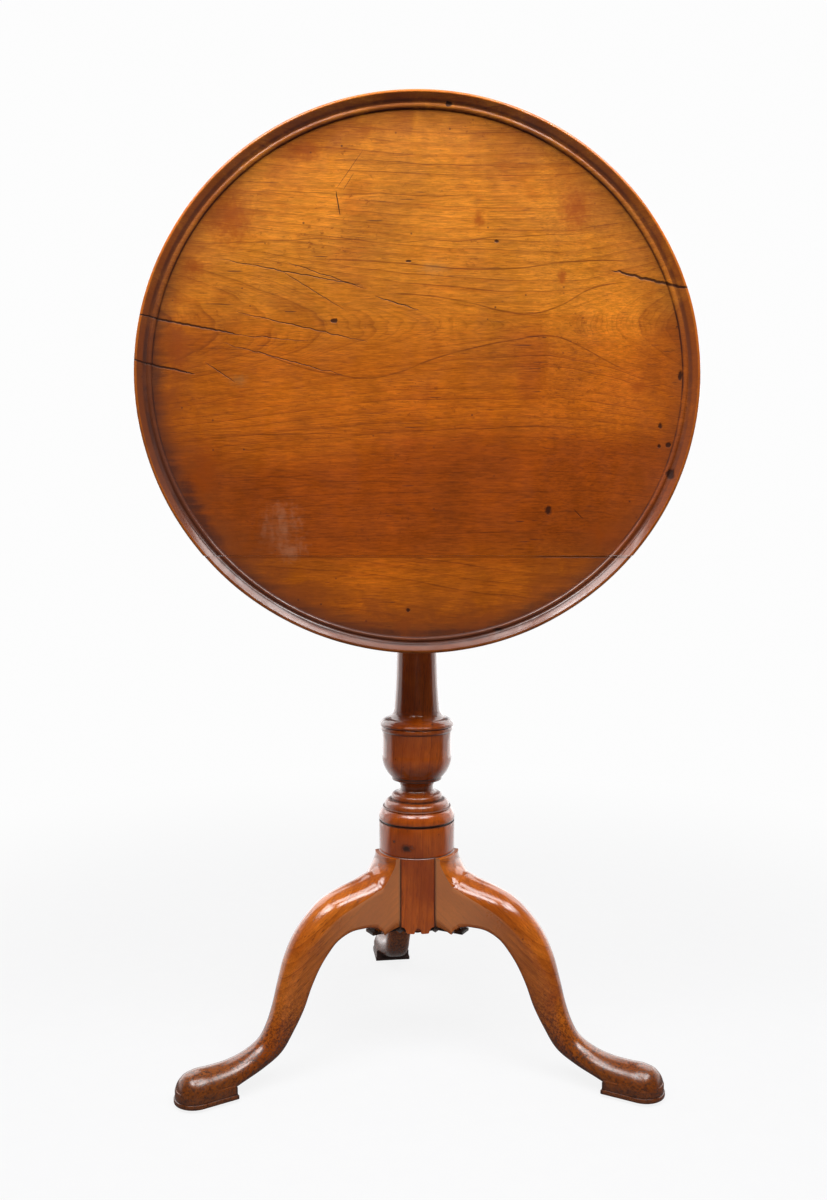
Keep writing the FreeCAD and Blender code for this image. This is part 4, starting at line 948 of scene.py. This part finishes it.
class TEATABLE_OT_tray_boards(bpy.types.Operator):
    """Carve the two glued boards of the round tray top"""
    bl_idname = "teatable.tray_boards"
    bl_label = "Tray boards"

    def execute(self, context):
        sizes = context.scene.tea_tray
        material = tray_material(sizes)
        boards = (
            ("carved_main_board", "tabletop_main_board", 1, 0.0),
            ("carved_lower_board", "tabletop_lower_board", -1, sizes.joint_step),
        )
        for name, node, side, inset in boards:
            mesh = new_mesh(name, [tray_grid(sizes, inset)])
            place = (0, 0, GLUE_LINE + side * sizes.glue_gap)
            close_up(mesh, cut=(place, (0, 0, -side)))
            new_piece(mesh, "top", node, material)
        return {"FINISHED"}


# Pillar base in metres: distance of the leg's flats from the axis, foot of the collar, radius and foot of the base
FLAT_REACH = 0.03487
COLLAR_FOOT = 0.2172
BASE_RADIUS = 0.0415
BASE_FOOT = 0.136


def turned_profile():
    """Half section of the pillar above its legs, radius and height in metres, from the collar up."""
    levels = np.linspace(376, 662.7, 24)
    column = smooth_through([376, 398, 437, 520, 662.7], [24.9, 23.3, 22.0, 21.2, 20.5], levels)
    parts = [
        [(41.5, 217.2), (40.7, 218.0), (41.5, 218.8), (41.5, 235), (41.5, 250.4), (39.6, 250.4), (39.6, 252.4)],
        arc((41.5, 252.4), (40.46, 259.96), (36.3, 265.0), 9),
        arc((36.7, 265.0), (37.6, 265.9), (36.7, 266.8), 5),
        arc((35.8, 266.8), (34.4, 271.2), (28.6, 274.4), 7),
        [(27.6, 274.4), (27.6, 275.0)],
        arc((27.9, 275.0), (27.5, 279.2), (24.0, 281.2), 7),
        arc((24.0, 281.2), (19.5, 283.6), (17.7, 287.4), 6)[1:],
        arc((17.7, 287.4), (20.08, 292.97), (26.2, 296.1), 10)[1:],
        [(27.2, 296.1), (27.2, 299.5), (28.2, 299.5)],
        arc((28.2, 299.5), (34.6, 307.7), (37.9, 326.0), 13)[1:],
        [(37.9, 338.0), (37.9, 349.8)],
        arc((37.9, 349.8), (39.6, 352.8), (37.9, 355.8), 9)[1:],
        arc((39.9, 355.8), (40.7, 357.6), (39.4, 359.8), 5),
        arc((39.4, 359.8), (36.6, 362.6), (32.2, 364.4), 5)[1:],
        arc((32.2, 364.4), (27.2, 368.6), (24.9, 376.0), 7)[1:],
        np.stack([column, levels], axis=1)[1:],
        [(15.0, 662.7), (15.0, 700.2), (14.5, 700.7)],
    ]
    return np.concatenate(parts) * MM


def scallop_height(across):
    """Height of the base's lower edge at a distance from the middle of a bay, in millimetres:
    a round notch, a lobe, a rising bite and a level end at the leg."""
    off = np.abs(across)
    notch = 138.976 + np.sqrt(np.maximum(3.524 ** 2 - off ** 2, 0))
    lobe = 139.527 - np.sqrt(np.maximum(5.027 ** 2 - (off - 7.8) ** 2, 0))
    bite = 137.5 + 5.0 * np.sqrt(np.maximum(1 - ((17.4 - off) / 5.0) ** 2, 0))
    height = np.select([off < 3.2, off < 12.4, off < 17.4], [notch, lobe, bite], 142.5)
    return np.maximum(height, BASE_FOOT / MM)


def leg_turns(legs):
    """Turns of the legs about the pillar's axis, by the node that each one stands for."""
    quarter = math.pi / 2
    return {
        "front_left_leg": -quarter - legs.spread,
        "front_right_leg": -quarter + legs.spread,
        "rear_leg": quarter + legs.rear_skew,
    }


def pillar_grid(sizes, legs):
    """The turned section carried round the axis; below the collar the radius is cut to a flat at each leg.

    At turn t from a leg the base's radius is the smaller of its round and the flat's distance over cos t.
    Between the flats the lower edge follows the scallop, steps inwards by its depth and falls to the foot.
    """
    turns = sorted(turn % math.tau for turn in leg_turns(legs).values())
    half_flat = math.acos(FLAT_REACH / BASE_RADIUS)
    side = np.linspace(-half_flat, half_flat, 13)
    columns, base, edge, hollow = [], [], [], []
    for here, ahead in zip(turns, turns[1:] + [turns[0] + math.tau]):
        bay = np.linspace(here + half_flat, ahead - half_flat, 66)[1:-1]
        across = BASE_RADIUS / MM * np.sin(bay - (here + ahead) / 2)
        columns += [here + side, bay]
        base += [FLAT_REACH / np.cos(side), np.full(len(bay), BASE_RADIUS)]
        edge += [np.full(len(side), BASE_FOOT), scallop_height(across) * MM]
        hollow += [np.zeros(len(side)), np.full(len(bay), sizes.scallop_depth)]
    columns, base, edge, hollow = (np.concatenate(part) for part in (columns, base, edge, hollow))
    turned = eased(turned_profile(), sizes.ease)
    none, foot = np.zeros_like(base), np.full_like(base, BASE_FOOT)
    falls = np.linspace(1, 0, 9)[:, None]
    out = [none, base - hollow, base - hollow, *(base + 0 * falls), *(turned[:, :1] + none), none]
    up = [foot, foot, edge, *(COLLAR_FOOT + (edge - COLLAR_FOOT) * falls), *(turned[:, 1:] + none),
          turned[-1, 1] + none]
    return np.stack([out * np.cos(columns), AXIS + out * np.sin(columns), up], axis=-1)


# Dark knots on the front of the collar: across and up, half width, half height, softness
COLLAR_KNOTS = {
    "knot": ((-0.0120, 0.2290), 0.0090, 0.0058, 0.8),
    "small knot": ((-0.0255, 0.2350), 0.0020, 0.0026, 0.9),
}
# Grooves and steps of the turning: height, half width and strength of the grime and painted shade in them
PILLAR_GROOVES = (
    (0.2514, 0.0022, 0.95), (0.2178, 0.0012, 0.75), (0.2668, 0.0010, 0.75), (0.2747, 0.0012, 0.80),
    (0.2958, 0.0016, 0.90), (0.2996, 0.0016, 0.90), (0.3498, 0.0010, 0.60), (0.3557, 0.0010, 0.60),
)


def pillar_grain(tree):
    return moved(object_place(tree), (0.013, 0.017, 0.05), UPRIGHT)


def pillar_grooves(tree, worn):
    """Grime and painted shade where the turner's tool left grooves and steps, by their heights, painted shade on
    the recessed neck, grime at the legs' seams.
    """
    place = object_place(tree)
    x, y, z = parts_of(place)
    # Grime and painted shade in each groove and step of the turning
    dirt = [rise(abs(z - level), half, half * 0.35) * strength for level, half, strength in PILLAR_GROOVES]
    # Painted shade: the recessed neck between the rings and the urn is darkened
    dirt.append(rise(z, 0.258, 0.27) * rise(z, 0.306, 0.297, 0.0, 0.34))
    back = y - AXIS
    legs = bpy.context.scene.tea_legs
    half = legs.stock / 2
    for turn in leg_turns(legs).values():
        aside = back * math.cos(turn) + x * -math.sin(turn)
        along = back * math.sin(turn) + x * math.cos(turn)
        seam = rise(abs(aside), half + 0.002, half + 0.0007) * (along > 0.0)
        dirt.append(seam * rise(z, 0.218, 0.2165, 0.0, 0.9))
    knots = marks(place, COLLAR_KNOTS) * (y < AXIS)
    return most(most(*dirt) * rise(worn["Blotch"], 0.25, 0.6, 0.55, 1.0), knots * 0.95)


class TEATABLE_OT_turned_pillar(bpy.types.Operator):
    """Turn the pillar with its urn, rings, collar and scalloped base"""
    bl_idname = "teatable.turned_pillar"
    bl_label = "Turned pillar"

    def execute(self, context):
        sizes, legs = context.scene.tea_pillar, context.scene.tea_legs
        material = polished_material("polished pillar", sizes, pillar_grain, pillar_grooves, 0.0075, 0.50)
        mesh = close_up(new_mesh("turned_pillar", [pillar_grid(sizes, legs)]), sharp=34)
        new_piece(mesh, "base", "pillar", material)
        return {"FINISHED"}


# Leg stations in millimetres: back and underside as distance from the axis and height, then width,
# crown and lower corner as shares of the width
LEG_STATIONS = np.array([
    (62.0, 198.5, 62.0, 145.5, 45.0, 0.27, 0.03),
    (69.3, 195.7, 68.5, 147.5, 45.0, 0.29, 0.03),
    (92.1, 189.4, 79.5, 148.5, 44.5, 0.34, 0.04),
    (114.1, 180.9, 93.5, 147.2, 42.5, 0.39, 0.05),
    (133.5, 166.0, 108.0, 139.6, 39.5, 0.42, 0.07),
    (149.2, 147.65, 118.0, 127.8, 36.5, 0.44, 0.10),
    (160.1, 126.3, 126.3, 114.6, 34.0, 0.46, 0.14),
    (167.4, 102.9, 135.0, 95.4, 31.5, 0.475, 0.20),
    (173.8, 79.0, 143.5, 71.8, 30.0, 0.485, 0.27),
    (179.8, 62.5, 153.6, 52.5, 29.0, 0.49, 0.33),
    (189.2, 47.3, 168.2, 32.1, 29.5, 0.475, 0.36),
    (204.5, 38.5, 189.5, 20.4, 31.5, 0.46, 0.34),
    (223.9, 33.5, 218.5, 14.2, 36.5, 0.42, 0.10),
    (243.0, 32.5, 243.0, 7.0, 41.0, 0.44, 0.04),
    (258.0, 32.5, 258.0, 7.0, 42.0, 0.43, 0.03),
    (269.5, 29.0, 269.5, 7.0, 35.0, 0.44, 0.03),
    (275.5, 23.0, 275.5, 7.0, 24.0, 0.44, 0.03),
    (278.3, 15.0, 278.3, 7.0, 11.0, 0.44, 0.03),
])
# Lip of a leg in millimetres: reach from the axis, top, foot and the radius of the hollow below it
LIP_REACH = 46.0
LIP_TOP = 217.2
LIP_FOOT = 214.7
COVE = 16.0
# Underside of a leg's root in millimetres: height at the pillar, then reach and height of the cusp
ROOT_HIGH = 142.5
CUSP_REACH = 54.0
CUSP_HIGH = 136.5
# Foot in millimetres: centre of the round toe, its radius, the heel's end, and reach and height of the tip
TOE_CENTRE = 258.0
TOE_RADIUS = 21.0
HEEL_END = 222.5
TOE_TIP = (278.9, 9.5)


def section_shares():
    """Outline of a leg section: four counts of points along underside, corners, sides and back."""
    flat = np.linspace(-1, 1, 9)
    bend = np.linspace(0, math.pi / 2, 6)[1:]
    side = np.linspace(0, 1, 9)[1:]
    crown = np.linspace(1, -1, 25)[1:-1]
    return flat, bend, side, crown


def section_points(half, corner, low, side_high, back):
    """Lateral place and height of each outline point, for arrays of rows.

    The underside is level, each lower corner a quarter round, each side straight up to its arris, and the
    back is whatever back(lateral) gives between the two arrises.
    """
    flat, bend, side, crown = section_shares()
    half, corner, low, side_high = (part[:, None] for part in (half, corner, low, side_high))
    ones = np.ones_like(half)
    under_v, under_h = flat * (half - corner), low + 0 * flat * ones
    right_v = half - corner + corner * np.sin(bend)
    right_h = low + corner - corner * np.cos(bend)
    wall_v, wall_h = half * np.ones(len(side)), low + corner + (side_high - low - corner) * side
    back_v = half * np.sin(crown * math.pi / 2)
    back_h = back(back_v)
    lateral = [under_v, right_v, wall_v, back_v, -wall_v[:, ::-1], -right_v[:, ::-1]]
    height = [under_h, right_h, wall_h, back_h, wall_h[:, ::-1], right_h[:, ::-1]]
    return np.concatenate(lateral, axis=1), np.concatenate(height, axis=1)


def crown_drop(lateral, half, crown):
    """How far a round back that falls by crown at its half width has fallen at a lateral place."""
    ball = (half ** 2 + crown ** 2) / (2 * crown)
    return ball - np.sqrt(np.maximum(ball ** 2 - lateral ** 2, 0))


def root_underside(out):
    """Height of the underside near the pillar: a falling curve to a cusp, a bite and the arch's start."""
    start = FLAT_REACH / MM
    fall = ROOT_HIGH - (ROOT_HIGH - CUSP_HIGH) * np.clip((out - start) / (CUSP_REACH - start), 0, 1) ** 1.6
    arch_reach, arch_high = LEG_STATIONS[0, 2:4]
    past = np.clip((out - CUSP_REACH) / (arch_reach - CUSP_REACH), 0, 1)
    bite = CUSP_HIGH + (arch_high - CUSP_HIGH) * np.sqrt(past)
    return np.where(out <= CUSP_REACH, fall, bite)


def leg_root(stock):
    """Rows of the leg's root, ringed round the pillar near the lip and plane at the arch's start.

    A row at side distance s bulges by its share of the circle through its side points. The back is level
    under the lip, steps down at the lip's edge, falls in a hollow quarter round and takes up its crown.
    """
    half = stock / 2 / MM
    side_out = np.array([34.87, 36.2, 37.6, 38.8, 39.6, 40.0, 40.12, 40.12, 40.3, 40.8, 41.7, 43.0, 44.6, 46.4,
                         48.3, 50.2, 52.0, 53.3, 54.0, 54.25, 54.8, 55.6, 56.7, 58.2, 60.0, 61.2])
    # Three rows have heights of their own: the lip's eased edge and the step under it
    edge_high = np.full(len(side_out), np.nan)
    edge_high[5:8] = (LIP_TOP - 0.15, LIP_TOP - 0.5, LIP_FOOT)
    bulge = 1 - ramped(side_out, LIP_REACH, LEG_STATIONS[0, 0])
    crown, corner = LEG_STATIONS[0, 5:] * 2 * half

    def out_at(lateral):
        ring = np.sqrt(side_out[:, None] ** 2 + half ** 2 - lateral ** 2)
        return side_out[:, None] + bulge[:, None] * (ring - side_out[:, None])

    def back_at(lateral):
        ring = np.hypot(out_at(lateral), lateral)
        cove = LIP_FOOT - np.sqrt(np.clip(COVE ** 2 - (LIP_REACH + COVE - ring) ** 2, 0, None))
        cove = np.where(ring > LIP_REACH + COVE, LIP_FOOT - COVE, cove)
        drop = crown_drop(lateral, half, crown) * ramped(ring, LIP_REACH + 1, LIP_REACH + COVE + 2)
        high = np.where(ring < LIP_REACH + 0.002, LIP_TOP, cove - drop)
        return np.where(np.isnan(edge_high)[:, None], high, edge_high[:, None])

    halves, corners = np.full(len(side_out), half), np.full(len(side_out), corner)
    side_high = back_at(halves[:, None])[:, 0]
    lateral, height = section_points(halves, corners, np.zeros(len(side_out)), side_high, back_at)
    out = out_at(lateral)
    low = root_underside(out)
    lift = np.clip(1 - height / np.maximum(side_high[:, None], 1), 0, 1)
    rows = np.stack([out, lateral, height + low * lift], axis=-1)
    wall = rows[:1].copy()
    wall[..., 0] = FLAT_REACH / MM
    heart = wall.copy()
    heart[..., 1] = 0
    heart[..., 2] = (LIP_TOP + ROOT_HIGH) / 2
    return np.concatenate([heart, wall, rows])


def leg_sweep():
    """Rows of the leg from the arch's start to the toe.

    Back and underside follow smooth curves through their stations; each section stands between the two,
    with a level underside, round lower corners, straight sides and a round back, and the last closes.
    """
    middles = (LEG_STATIONS[:, :2] + LEG_STATIONS[:, 2:4]) / 2
    knots = np.concatenate([[0], np.cumsum(np.hypot(*np.diff(middles, axis=0).T))])
    at = np.linspace(0, knots[-1], 132)
    stations = smooth_through(knots, LEG_STATIONS, at)
    back, under = stations[:, :2], stations[:, 2:4]
    deep = np.hypot(*(back - under).T)
    half, crown = stations[:, 4] / 2, stations[:, 5] * stations[:, 4]
    corner = stations[:, 6] * stations[:, 4]

    def back_at(lateral):
        return deep[:, None] - crown_drop(lateral, half[:, None], crown[:, None])

    lateral, height = section_points(half, corner, np.zeros_like(half), deep - crown, back_at)
    way = (back - under) / deep[:, None]
    place = under[:, None, :] + height[..., None] * way[:, None, :]
    rows = np.stack([place[..., 0], lateral, place[..., 1]], axis=-1)
    tip = np.zeros_like(rows[:1])
    tip[..., 0], tip[..., 2] = TOE_TIP
    return np.concatenate([rows, tip])


def foot_slab():
    """The sole and heel block under the toe: a straight-sided outline with a half-round front, stacked.

    Each row is the outline grown by an offset at a height; the first and last rows close on a line.
    """
    levels = np.array([(3.0, -20.5), (3.0, 0.4), (3.4, 0.95), (4.2, 1.15), (6.7, 1.15), (7.3, 0.85), (7.5, 0.3),
                       (7.6, 0.0), (15.0, 0.0), (16.4, -0.7), (17.0, -2.4), (17.0, -20.5)])
    grown = levels[:, 1:]
    half, heel_end = TOE_RADIUS + grown, HEEL_END - grown
    straight = TOE_CENTRE - heel_end
    turn = np.linspace(-math.pi / 2, math.pi / 2, 33)
    run = np.linspace(0, 1, 10)[1:]
    toe = np.stack([TOE_CENTRE + half * np.cos(turn), half * np.sin(turn)], axis=-1)
    left = np.stack([TOE_CENTRE - straight * run, half + 0 * run], axis=-1)
    heel = np.stack([heel_end + 0 * run, half * (1 - 2 * run)], axis=-1)
    right = np.stack([heel_end + straight * run[:-1], -half + 0 * run[:-1]], axis=-1)
    plan = np.concatenate([toe, left, heel, right], axis=1)
    high = np.repeat(levels[:, :1], plan.shape[1], axis=1)
    return np.concatenate([plan, high[..., None]], axis=-1)


def leg_coordinates(mesh, points, **masks):
    """Keep each point's place along and across the leg's grain, and its value in each mask."""
    lean = math.radians(-38)
    along = points[:, 0] * math.cos(lean) + points[:, 2] * math.sin(lean)
    across = points[:, 2] * math.cos(lean) - points[:, 0] * math.sin(lean)
    grain = np.stack([along, points[:, 1], across], axis=1) * MM
    mesh.attributes.new("grain", "FLOAT_VECTOR", "POINT").data.foreach_set("vector", grain.ravel())
    for name, mask in masks.items():
        mesh.attributes.new(name.replace("_", " "), "FLOAT", "POINT").data.foreach_set("value", mask)


def leg_grain(tree):
    return moved(kept(tree, "grain", "Vector"), (0.02, 0.03, 0.045))


def leg_flats(tree):
    return kept(tree, "flat side")


def leg_grooves(tree, worn):
    """Grime where the leg meets the pillar, painted shade on the end face of its heel, and darkening along its
    arrises.
    """
    x, y, z = parts_of(object_place(tree))
    seam = rise(far_from(x, y - AXIS), 0.0436, 0.042) * rise(z, 0.215, 0.2135)
    arris = rise(kept(tree, "arris"), 0.55, 0.95) * rise(worn["Blotch"], 0.3, 0.6, 0.35, 0.75)
    # Painted shade: the heel's end face is made almost black
    return most(seam * 0.9, kept(tree, "bare end") * 0.96, arris)


def leg_feet(tree, worn):
    """Dark mottling that thickens towards the floor, and the dirty line above the sole."""
    place = object_place(tree)
    z = parts_of(place)[2]
    shade = rise(z, 0.075, 0.01) * rise(worn["Blotch"], 0.34, 0.6, 0.42, 0.74)
    mottle = rise(z, 0.12, 0.03, 0.05, 0.92) * rise(cloud(place, 430.0, 5.0, 0.74, 0.3), 0.46, 0.56)
    line = rise(abs(z - 0.008), 0.0014, 0.0005)
    return most(shade, mottle, line * 0.9)


class TEATABLE_OT_carved_legs(bpy.types.Operator):
    """Carve the three cabriole legs with lips, cusps and slipper feet"""
    bl_idname = "teatable.carved_legs"
    bl_label = "Carved legs"

    def execute(self, context):
        legs = context.scene.tea_legs
        material = polished_material(
            "polished legs", legs, leg_grain, leg_grooves, 0.0075, 0.70, dull=leg_flats, feet=leg_feet)
        carved, slab = np.concatenate([leg_root(legs.stock), leg_sweep()]), foot_slab()
        points = np.concatenate([carved.reshape(-1, 3), slab.reshape(-1, 3)])
        underside, bend, side, crown = (len(part) for part in section_shares())
        right_wall = underside + bend
        back = right_wall + side
        left_wall = back + crown
        walls, arrises = np.zeros((2, carved.shape[1]))
        walls[right_wall:back] = walls[left_wall:left_wall + side] = 1
        arrises[[back - 1, left_wall]] = 1
        # The flats and arrises die out along the knee
        fade = 1 - ramped(carved[..., 0], 70, 150)
        bare = np.zeros(slab[..., 0].size)
        flat, arris = (np.concatenate([(mask * fade).ravel(), bare]) for mask in (walls, arrises))
        # Painted shade on the end face of each heel, behind the heel's end
        behind = 1 - ramped(slab[..., 0].ravel(), HEEL_END + 0.5, HEEL_END + 2)
        heel = np.concatenate([np.zeros(fade.size), behind])
        for node, turn in leg_turns(legs).items():
            mesh = new_mesh(f"carved_{node}", [carved, slab])
            leg_coordinates(mesh, points, flat_side=flat, arris=arris, bare_end=heel)
            cosine, sine = math.cos(turn), math.sin(turn)
            stood = np.stack([
                points[:, 0] * cosine - points[:, 1] * sine,
                points[:, 0] * sine + points[:, 1] * cosine + AXIS / MM,
                points[:, 2]], axis=1) * MM
            mesh.vertices.foreach_set("co", stood.ravel())
            mesh.update()
            close_up(mesh, sharp=38)
            new_piece(mesh, "base", node, material)
        return {"FINISHED"}


class TEATABLE_OT_frame_wood(bpy.types.Operator):
    """Finish the dry wood of the pivot block, the battens and the wedge"""
    bl_idname = "teatable.frame_wood"
    bl_label = "Frame wood"

    def execute(self, context):
        material = dry_wood_material(context.scene.tea_fittings)
        finish_nodes(["pivot_block", "left_batten", "right_batten", "pillar_wedge"], material)
        return {"FINISHED"}


class TEATABLE_OT_ironwork(bpy.types.Operator):
    """Finish the iron brace, its nails and the batten screws"""
    bl_idname = "teatable.ironwork"
    bl_label = "Ironwork"

    def execute(self, context):
        fittings = context.scene.tea_fittings
        iron = metal_material("wrought iron", fittings.iron, fittings.rust, 0.85, 0.45, 0.75, 70.0, 0.0006)
        finish_nodes(["leg_brace", "brace_nails", "batten_screws"], iron)
        return {"FINISHED"}


def leaf_spring(low, high, leaf):
    """A bowed leaf: the strip between two arcs, from the end wall of the case down to the bolt and back.

    Each row is a rectangle across the strip, and the first and last rows close on their middles.
    """
    middle = (low[0] + high[0]) / 2
    outer = arc((low[0], high[2]), (middle, low[2]), (high[0], high[2]), 33)
    inner = arc((low[0] + leaf, high[2]), (middle, low[2] + leaf), (high[0] - leaf, high[2]), 33)
    bow = np.stack([outer, outer, inner, inner], axis=1)
    deep = np.broadcast_to([low[1], high[1], high[1], low[1]], bow.shape[:2])
    rows = np.stack([bow[..., 0], deep, bow[..., 1]], axis=-1)
    ends = rows[[0, -1]].mean(axis=1, keepdims=True).repeat(4, axis=1)
    return np.concatenate([ends[:1], rows, ends[1:]])


class TEATABLE_OT_catch(bpy.types.Operator):
    """Finish the brass catch, its strike plate and its screws, and bow its leaf spring"""
    bl_idname = "teatable.catch"
    bl_label = "Spring catch"

    def execute(self, context):
        fittings = context.scene.tea_fittings
        brass = metal_material("tarnished brass", fittings.brass, fittings.tarnish, 1.0, 0.34, 0.62, 90.0, 0.0001)
        steel = metal_material("blued steel", fittings.steel, DULL_STEEL, 1.0, 0.28, 0.45, 120.0, 0.0001)
        finish_nodes(["catch_case", "catch_bolt", "catch_knob", "catch_screws", "strike_plate",
                      "strike_screws"], brass)
        low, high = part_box("catch_spring")
        mesh = close_up(new_mesh("bowed_leaf_spring", [leaf_spring(low, high, fittings.spring_leaf)]))
        spring = new_piece(mesh, "top", "catch_spring", steel)
        joints = {joint["name"]: joint for joint in frame["record"]["behaviour"]["joints"]}
        # Height left to the spring when the bolt is drawn right back
        left = high[2] - low[2] - 1.01 * joints["bolt_slide"]["range_m"][1]
        left / (high[2] - low[2])
        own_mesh(spring)
        return {"FINISHED"}


class TEATABLE_OT_foot_pads(bpy.types.Operator):
    """Finish the felt pads under the feet"""
    bl_idname = "teatable.foot_pads"
    bl_label = "Foot pads"

    def execute(self, context):
        felt = felt_material(context.scene.tea_fittings)
        finish_nodes(["front_left_foot_pad", "front_right_foot_pad", "rear_foot_pad"], felt)
        return {"FINISHED"}


def floor_material(studio):
    """White paper to the camera; the polish sees it glow behind and beside the table."""
    material, tree, shader = new_material("pale floor", specular_ior_level=0.0)
    place = object_place(tree)
    x, y, _ = parts_of(place)
    out, grain = far_from(x, y), cloud(place, 45.0, 5.0)
    rays = put(tree, "ShaderNodeLightPath").outputs
    camera, polish = Flow(rays["Is Camera Ray"]), Flow(rays["Is Glossy Ray"])
    tone = blend(rise(grain, 0.3, 0.7), studio.floor, FLOOR_FLECK)
    paper = camera * (rise(out, 1.3, 0.45, 0.0, 0.5) - 1.0) + 1.0
    beside = rise(abs(x), 0.05, 0.36) * rise(y, AXIS - 0.05, AXIS + 0.3)
    behind = most(rise(y, AXIS + 0.05, AXIS + 0.8), beside) * studio.floor_behind
    strength = polish * behind + camera * rise(out, 0.45, 1.3, studio.floor_glow, 0.98)
    glow = made(tree, "ShaderNodeEmission", 0, {"Strength": strength})
    give(shader.inputs, base_color=shaded(tone, paper), roughness=rise(grain, 0.3, 0.7, 0.55, 0.65))
    both = made(tree, "ShaderNodeAddShader", 0, {0: Flow(shader.outputs[0]), 1: glow})
    feed(tree.nodes["Material Output"].inputs["Surface"], both)
    return material


def studio_room(studio):
    """White to the camera; to the table a dim room with a low white backdrop and wings behind it."""
    world = bpy.data.worlds.new("studio_room")
    world.use_nodes = True
    tree = world.node_tree
    tree.nodes.clear()
    across, forward, up = parts_of(made(tree, "ShaderNodeTexCoord", "Generated"))
    wings = rise(abs(across), 0.45, 0.75) * rise(up, 0.72, 0.45, 0.0, 0.7)
    low = most(wings, rise(up, 0.34, 0.08, 0.1, 1.0))
    light = rise(forward, -0.2, 0.25) * low * studio.backdrop + studio.room
    lit = made(tree, "ShaderNodeBackground", 0, {"Color": (0.97, 0.98, 1, 1), "Strength": light})
    white = made(tree, "ShaderNodeBackground", 0, {"Color": (1, 1, 1, 1), "Strength": 0.98})
    camera = made(tree, "ShaderNodeLightPath", "Is Camera Ray")
    room = made(tree, "ShaderNodeMixShader", 0, {0: camera, 1: lit, 2: white})
    put(tree, "ShaderNodeOutputWorld", {"Surface": room})
    return world


def softbox(name, place, aim_height, size, power):
    """A soft light at a place measured from the foot of the pillar's axis, turned to a height on that axis."""
    light = bpy.data.lights.new(name, "AREA")
    light.shape = "RECTANGLE"
    light.size, light.size_y = size
    light.energy = power
    lamp = bpy.data.objects.new(name, light)
    lamp.location = (place[0], AXIS + place[1], place[2])
    lamp.rotation_euler = (Vector((0, 0, aim_height)) - Vector(place)).to_track_quat("-Z", "Y").to_euler()
    lamp.visible_camera = False
    bpy.context.scene.collection.objects.link(lamp)
    return lamp


class TEATABLE_OT_studio(bpy.types.Operator):
    """Set up the pale floor, the soft lights and the camera"""
    bl_idname = "teatable.studio"
    bl_label = "Studio"

    def execute(self, context):
        scene, studio = context.scene, context.scene.tea_studio
        scene.view_settings.view_transform = "Standard"
        scene.world = studio_room(studio)
        turn = np.linspace(0, math.tau, 96, endpoint=False)
        reach = np.array([0.0, 0.5, 1.5, 4.0, 12.0])[:, None]
        sheet = np.stack([reach * np.cos(turn), reach * np.sin(turn), np.zeros((5, 96))], axis=-1)
        mesh = close_up(new_mesh("studio_floor", [sheet]))
        mesh.materials.append(floor_material(studio))
        floor = bpy.data.objects.new("studio_floor", mesh)
        scene.collection.objects.link(floor)

        for side, name in ((-1, "left"), (1, "right")):
            softbox(f"{name}_front_softbox", (0.52 * side, -1.12, 2.1), 0.55, (0.65, 0.50), studio.front_power)
            softbox(f"{name}_side_softbox", (0.85 * side, -0.62, 2.0), 0.55, (0.7, 0.7), studio.side_power)
            edge = softbox(f"{name}_edge_card", (0.95 * side, 1.25, 0.45), 0.55, (1.3, 0.95), studio.edge_power)
            gleam = softbox(
                f"{name}_rear_softbox", (0.85 * side, 0.95, 1.15), 0.25, (0.9, 0.9), studio.gleam_power)
            edge.visible_diffuse = gleam.visible_diffuse = False
        softbox("top_softbox", (0, -0.55, 2.3), 0.55, (1.0, 0.5), studio.top_power)
        fill = softbox("low_front_fill", (0, -1.5, 0.25), 0.24, (0.8, 0.3), studio.fill_power)
        fill.data.spread = math.radians(60)
        fill.visible_glossy = False

        view = bpy.data.cameras.new("studio_camera")
        view.lens, view.sensor_width = studio.lens, 36.0
        camera = bpy.data.objects.new("studio_camera", view)
        camera.location = studio.camera_place + Vector((0, AXIS, 0))
        camera.rotation_euler = (studio.camera_pitch, 0, studio.camera_turn)
        scene.collection.objects.link(camera)
        scene.camera = camera
        return {"FINISHED"}


class TEATABLE_PT_sidebar(bpy.types.Panel):
    bl_idname = "TEATABLE_PT_sidebar"
    bl_label = "Tea Table"
    bl_space_type = "VIEW_3D"
    bl_region_type = "UI"
    bl_category = "Tea Table"

    def draw(self, context):
        for step in STEPS:
            self.layout.operator(step.bl_idname)
        for name in SETTINGS:
            group = getattr(context.scene, name)
            box = self.layout.box()
            for label in group.__annotations__:
                box.prop(group, label)


SETTINGS = {
    "tea_tray": TrayTopSizes,
    "tea_pillar": PillarSizes,
    "tea_legs": LegSizes,
    "tea_fittings": FittingSettings,
    "tea_studio": StudioSettings,
}
STEPS = (
    TEATABLE_OT_studio,
    TEATABLE_OT_tray_boards,
    TEATABLE_OT_turned_pillar,
    TEATABLE_OT_carved_legs,
    TEATABLE_OT_frame_wood,
    TEATABLE_OT_ironwork,
    TEATABLE_OT_catch,
    TEATABLE_OT_foot_pads,
)


def register():
    for kind in (*SETTINGS.values(), *STEPS, TEATABLE_PT_sidebar):
        bpy.utils.register_class(kind)
    for name, kind in SETTINGS.items():
        setattr(bpy.types.Scene, name, bpy.props.PointerProperty(type=kind))


def unregister():
    for name in SETTINGS:
        delattr(bpy.types.Scene, name)
    for kind in reversed((*SETTINGS.values(), *STEPS, TEATABLE_PT_sidebar)):
        bpy.utils.unregister_class(kind)


def main():
    register()
    for make in (grain_group, patina_group, split_group, spot_group, weathered_group):
        make()
    bpy.ops.teatable.studio()
    bpy.ops.teatable.tray_boards()
    bpy.ops.teatable.turned_pillar()
    bpy.ops.teatable.carved_legs()
    bpy.ops.teatable.frame_wood()
    bpy.ops.teatable.ironwork()
    bpy.ops.teatable.catch()
    bpy.ops.teatable.foot_pads()
    bpy.context.view_layer.update()


if __name__ == "__main__":
    main()
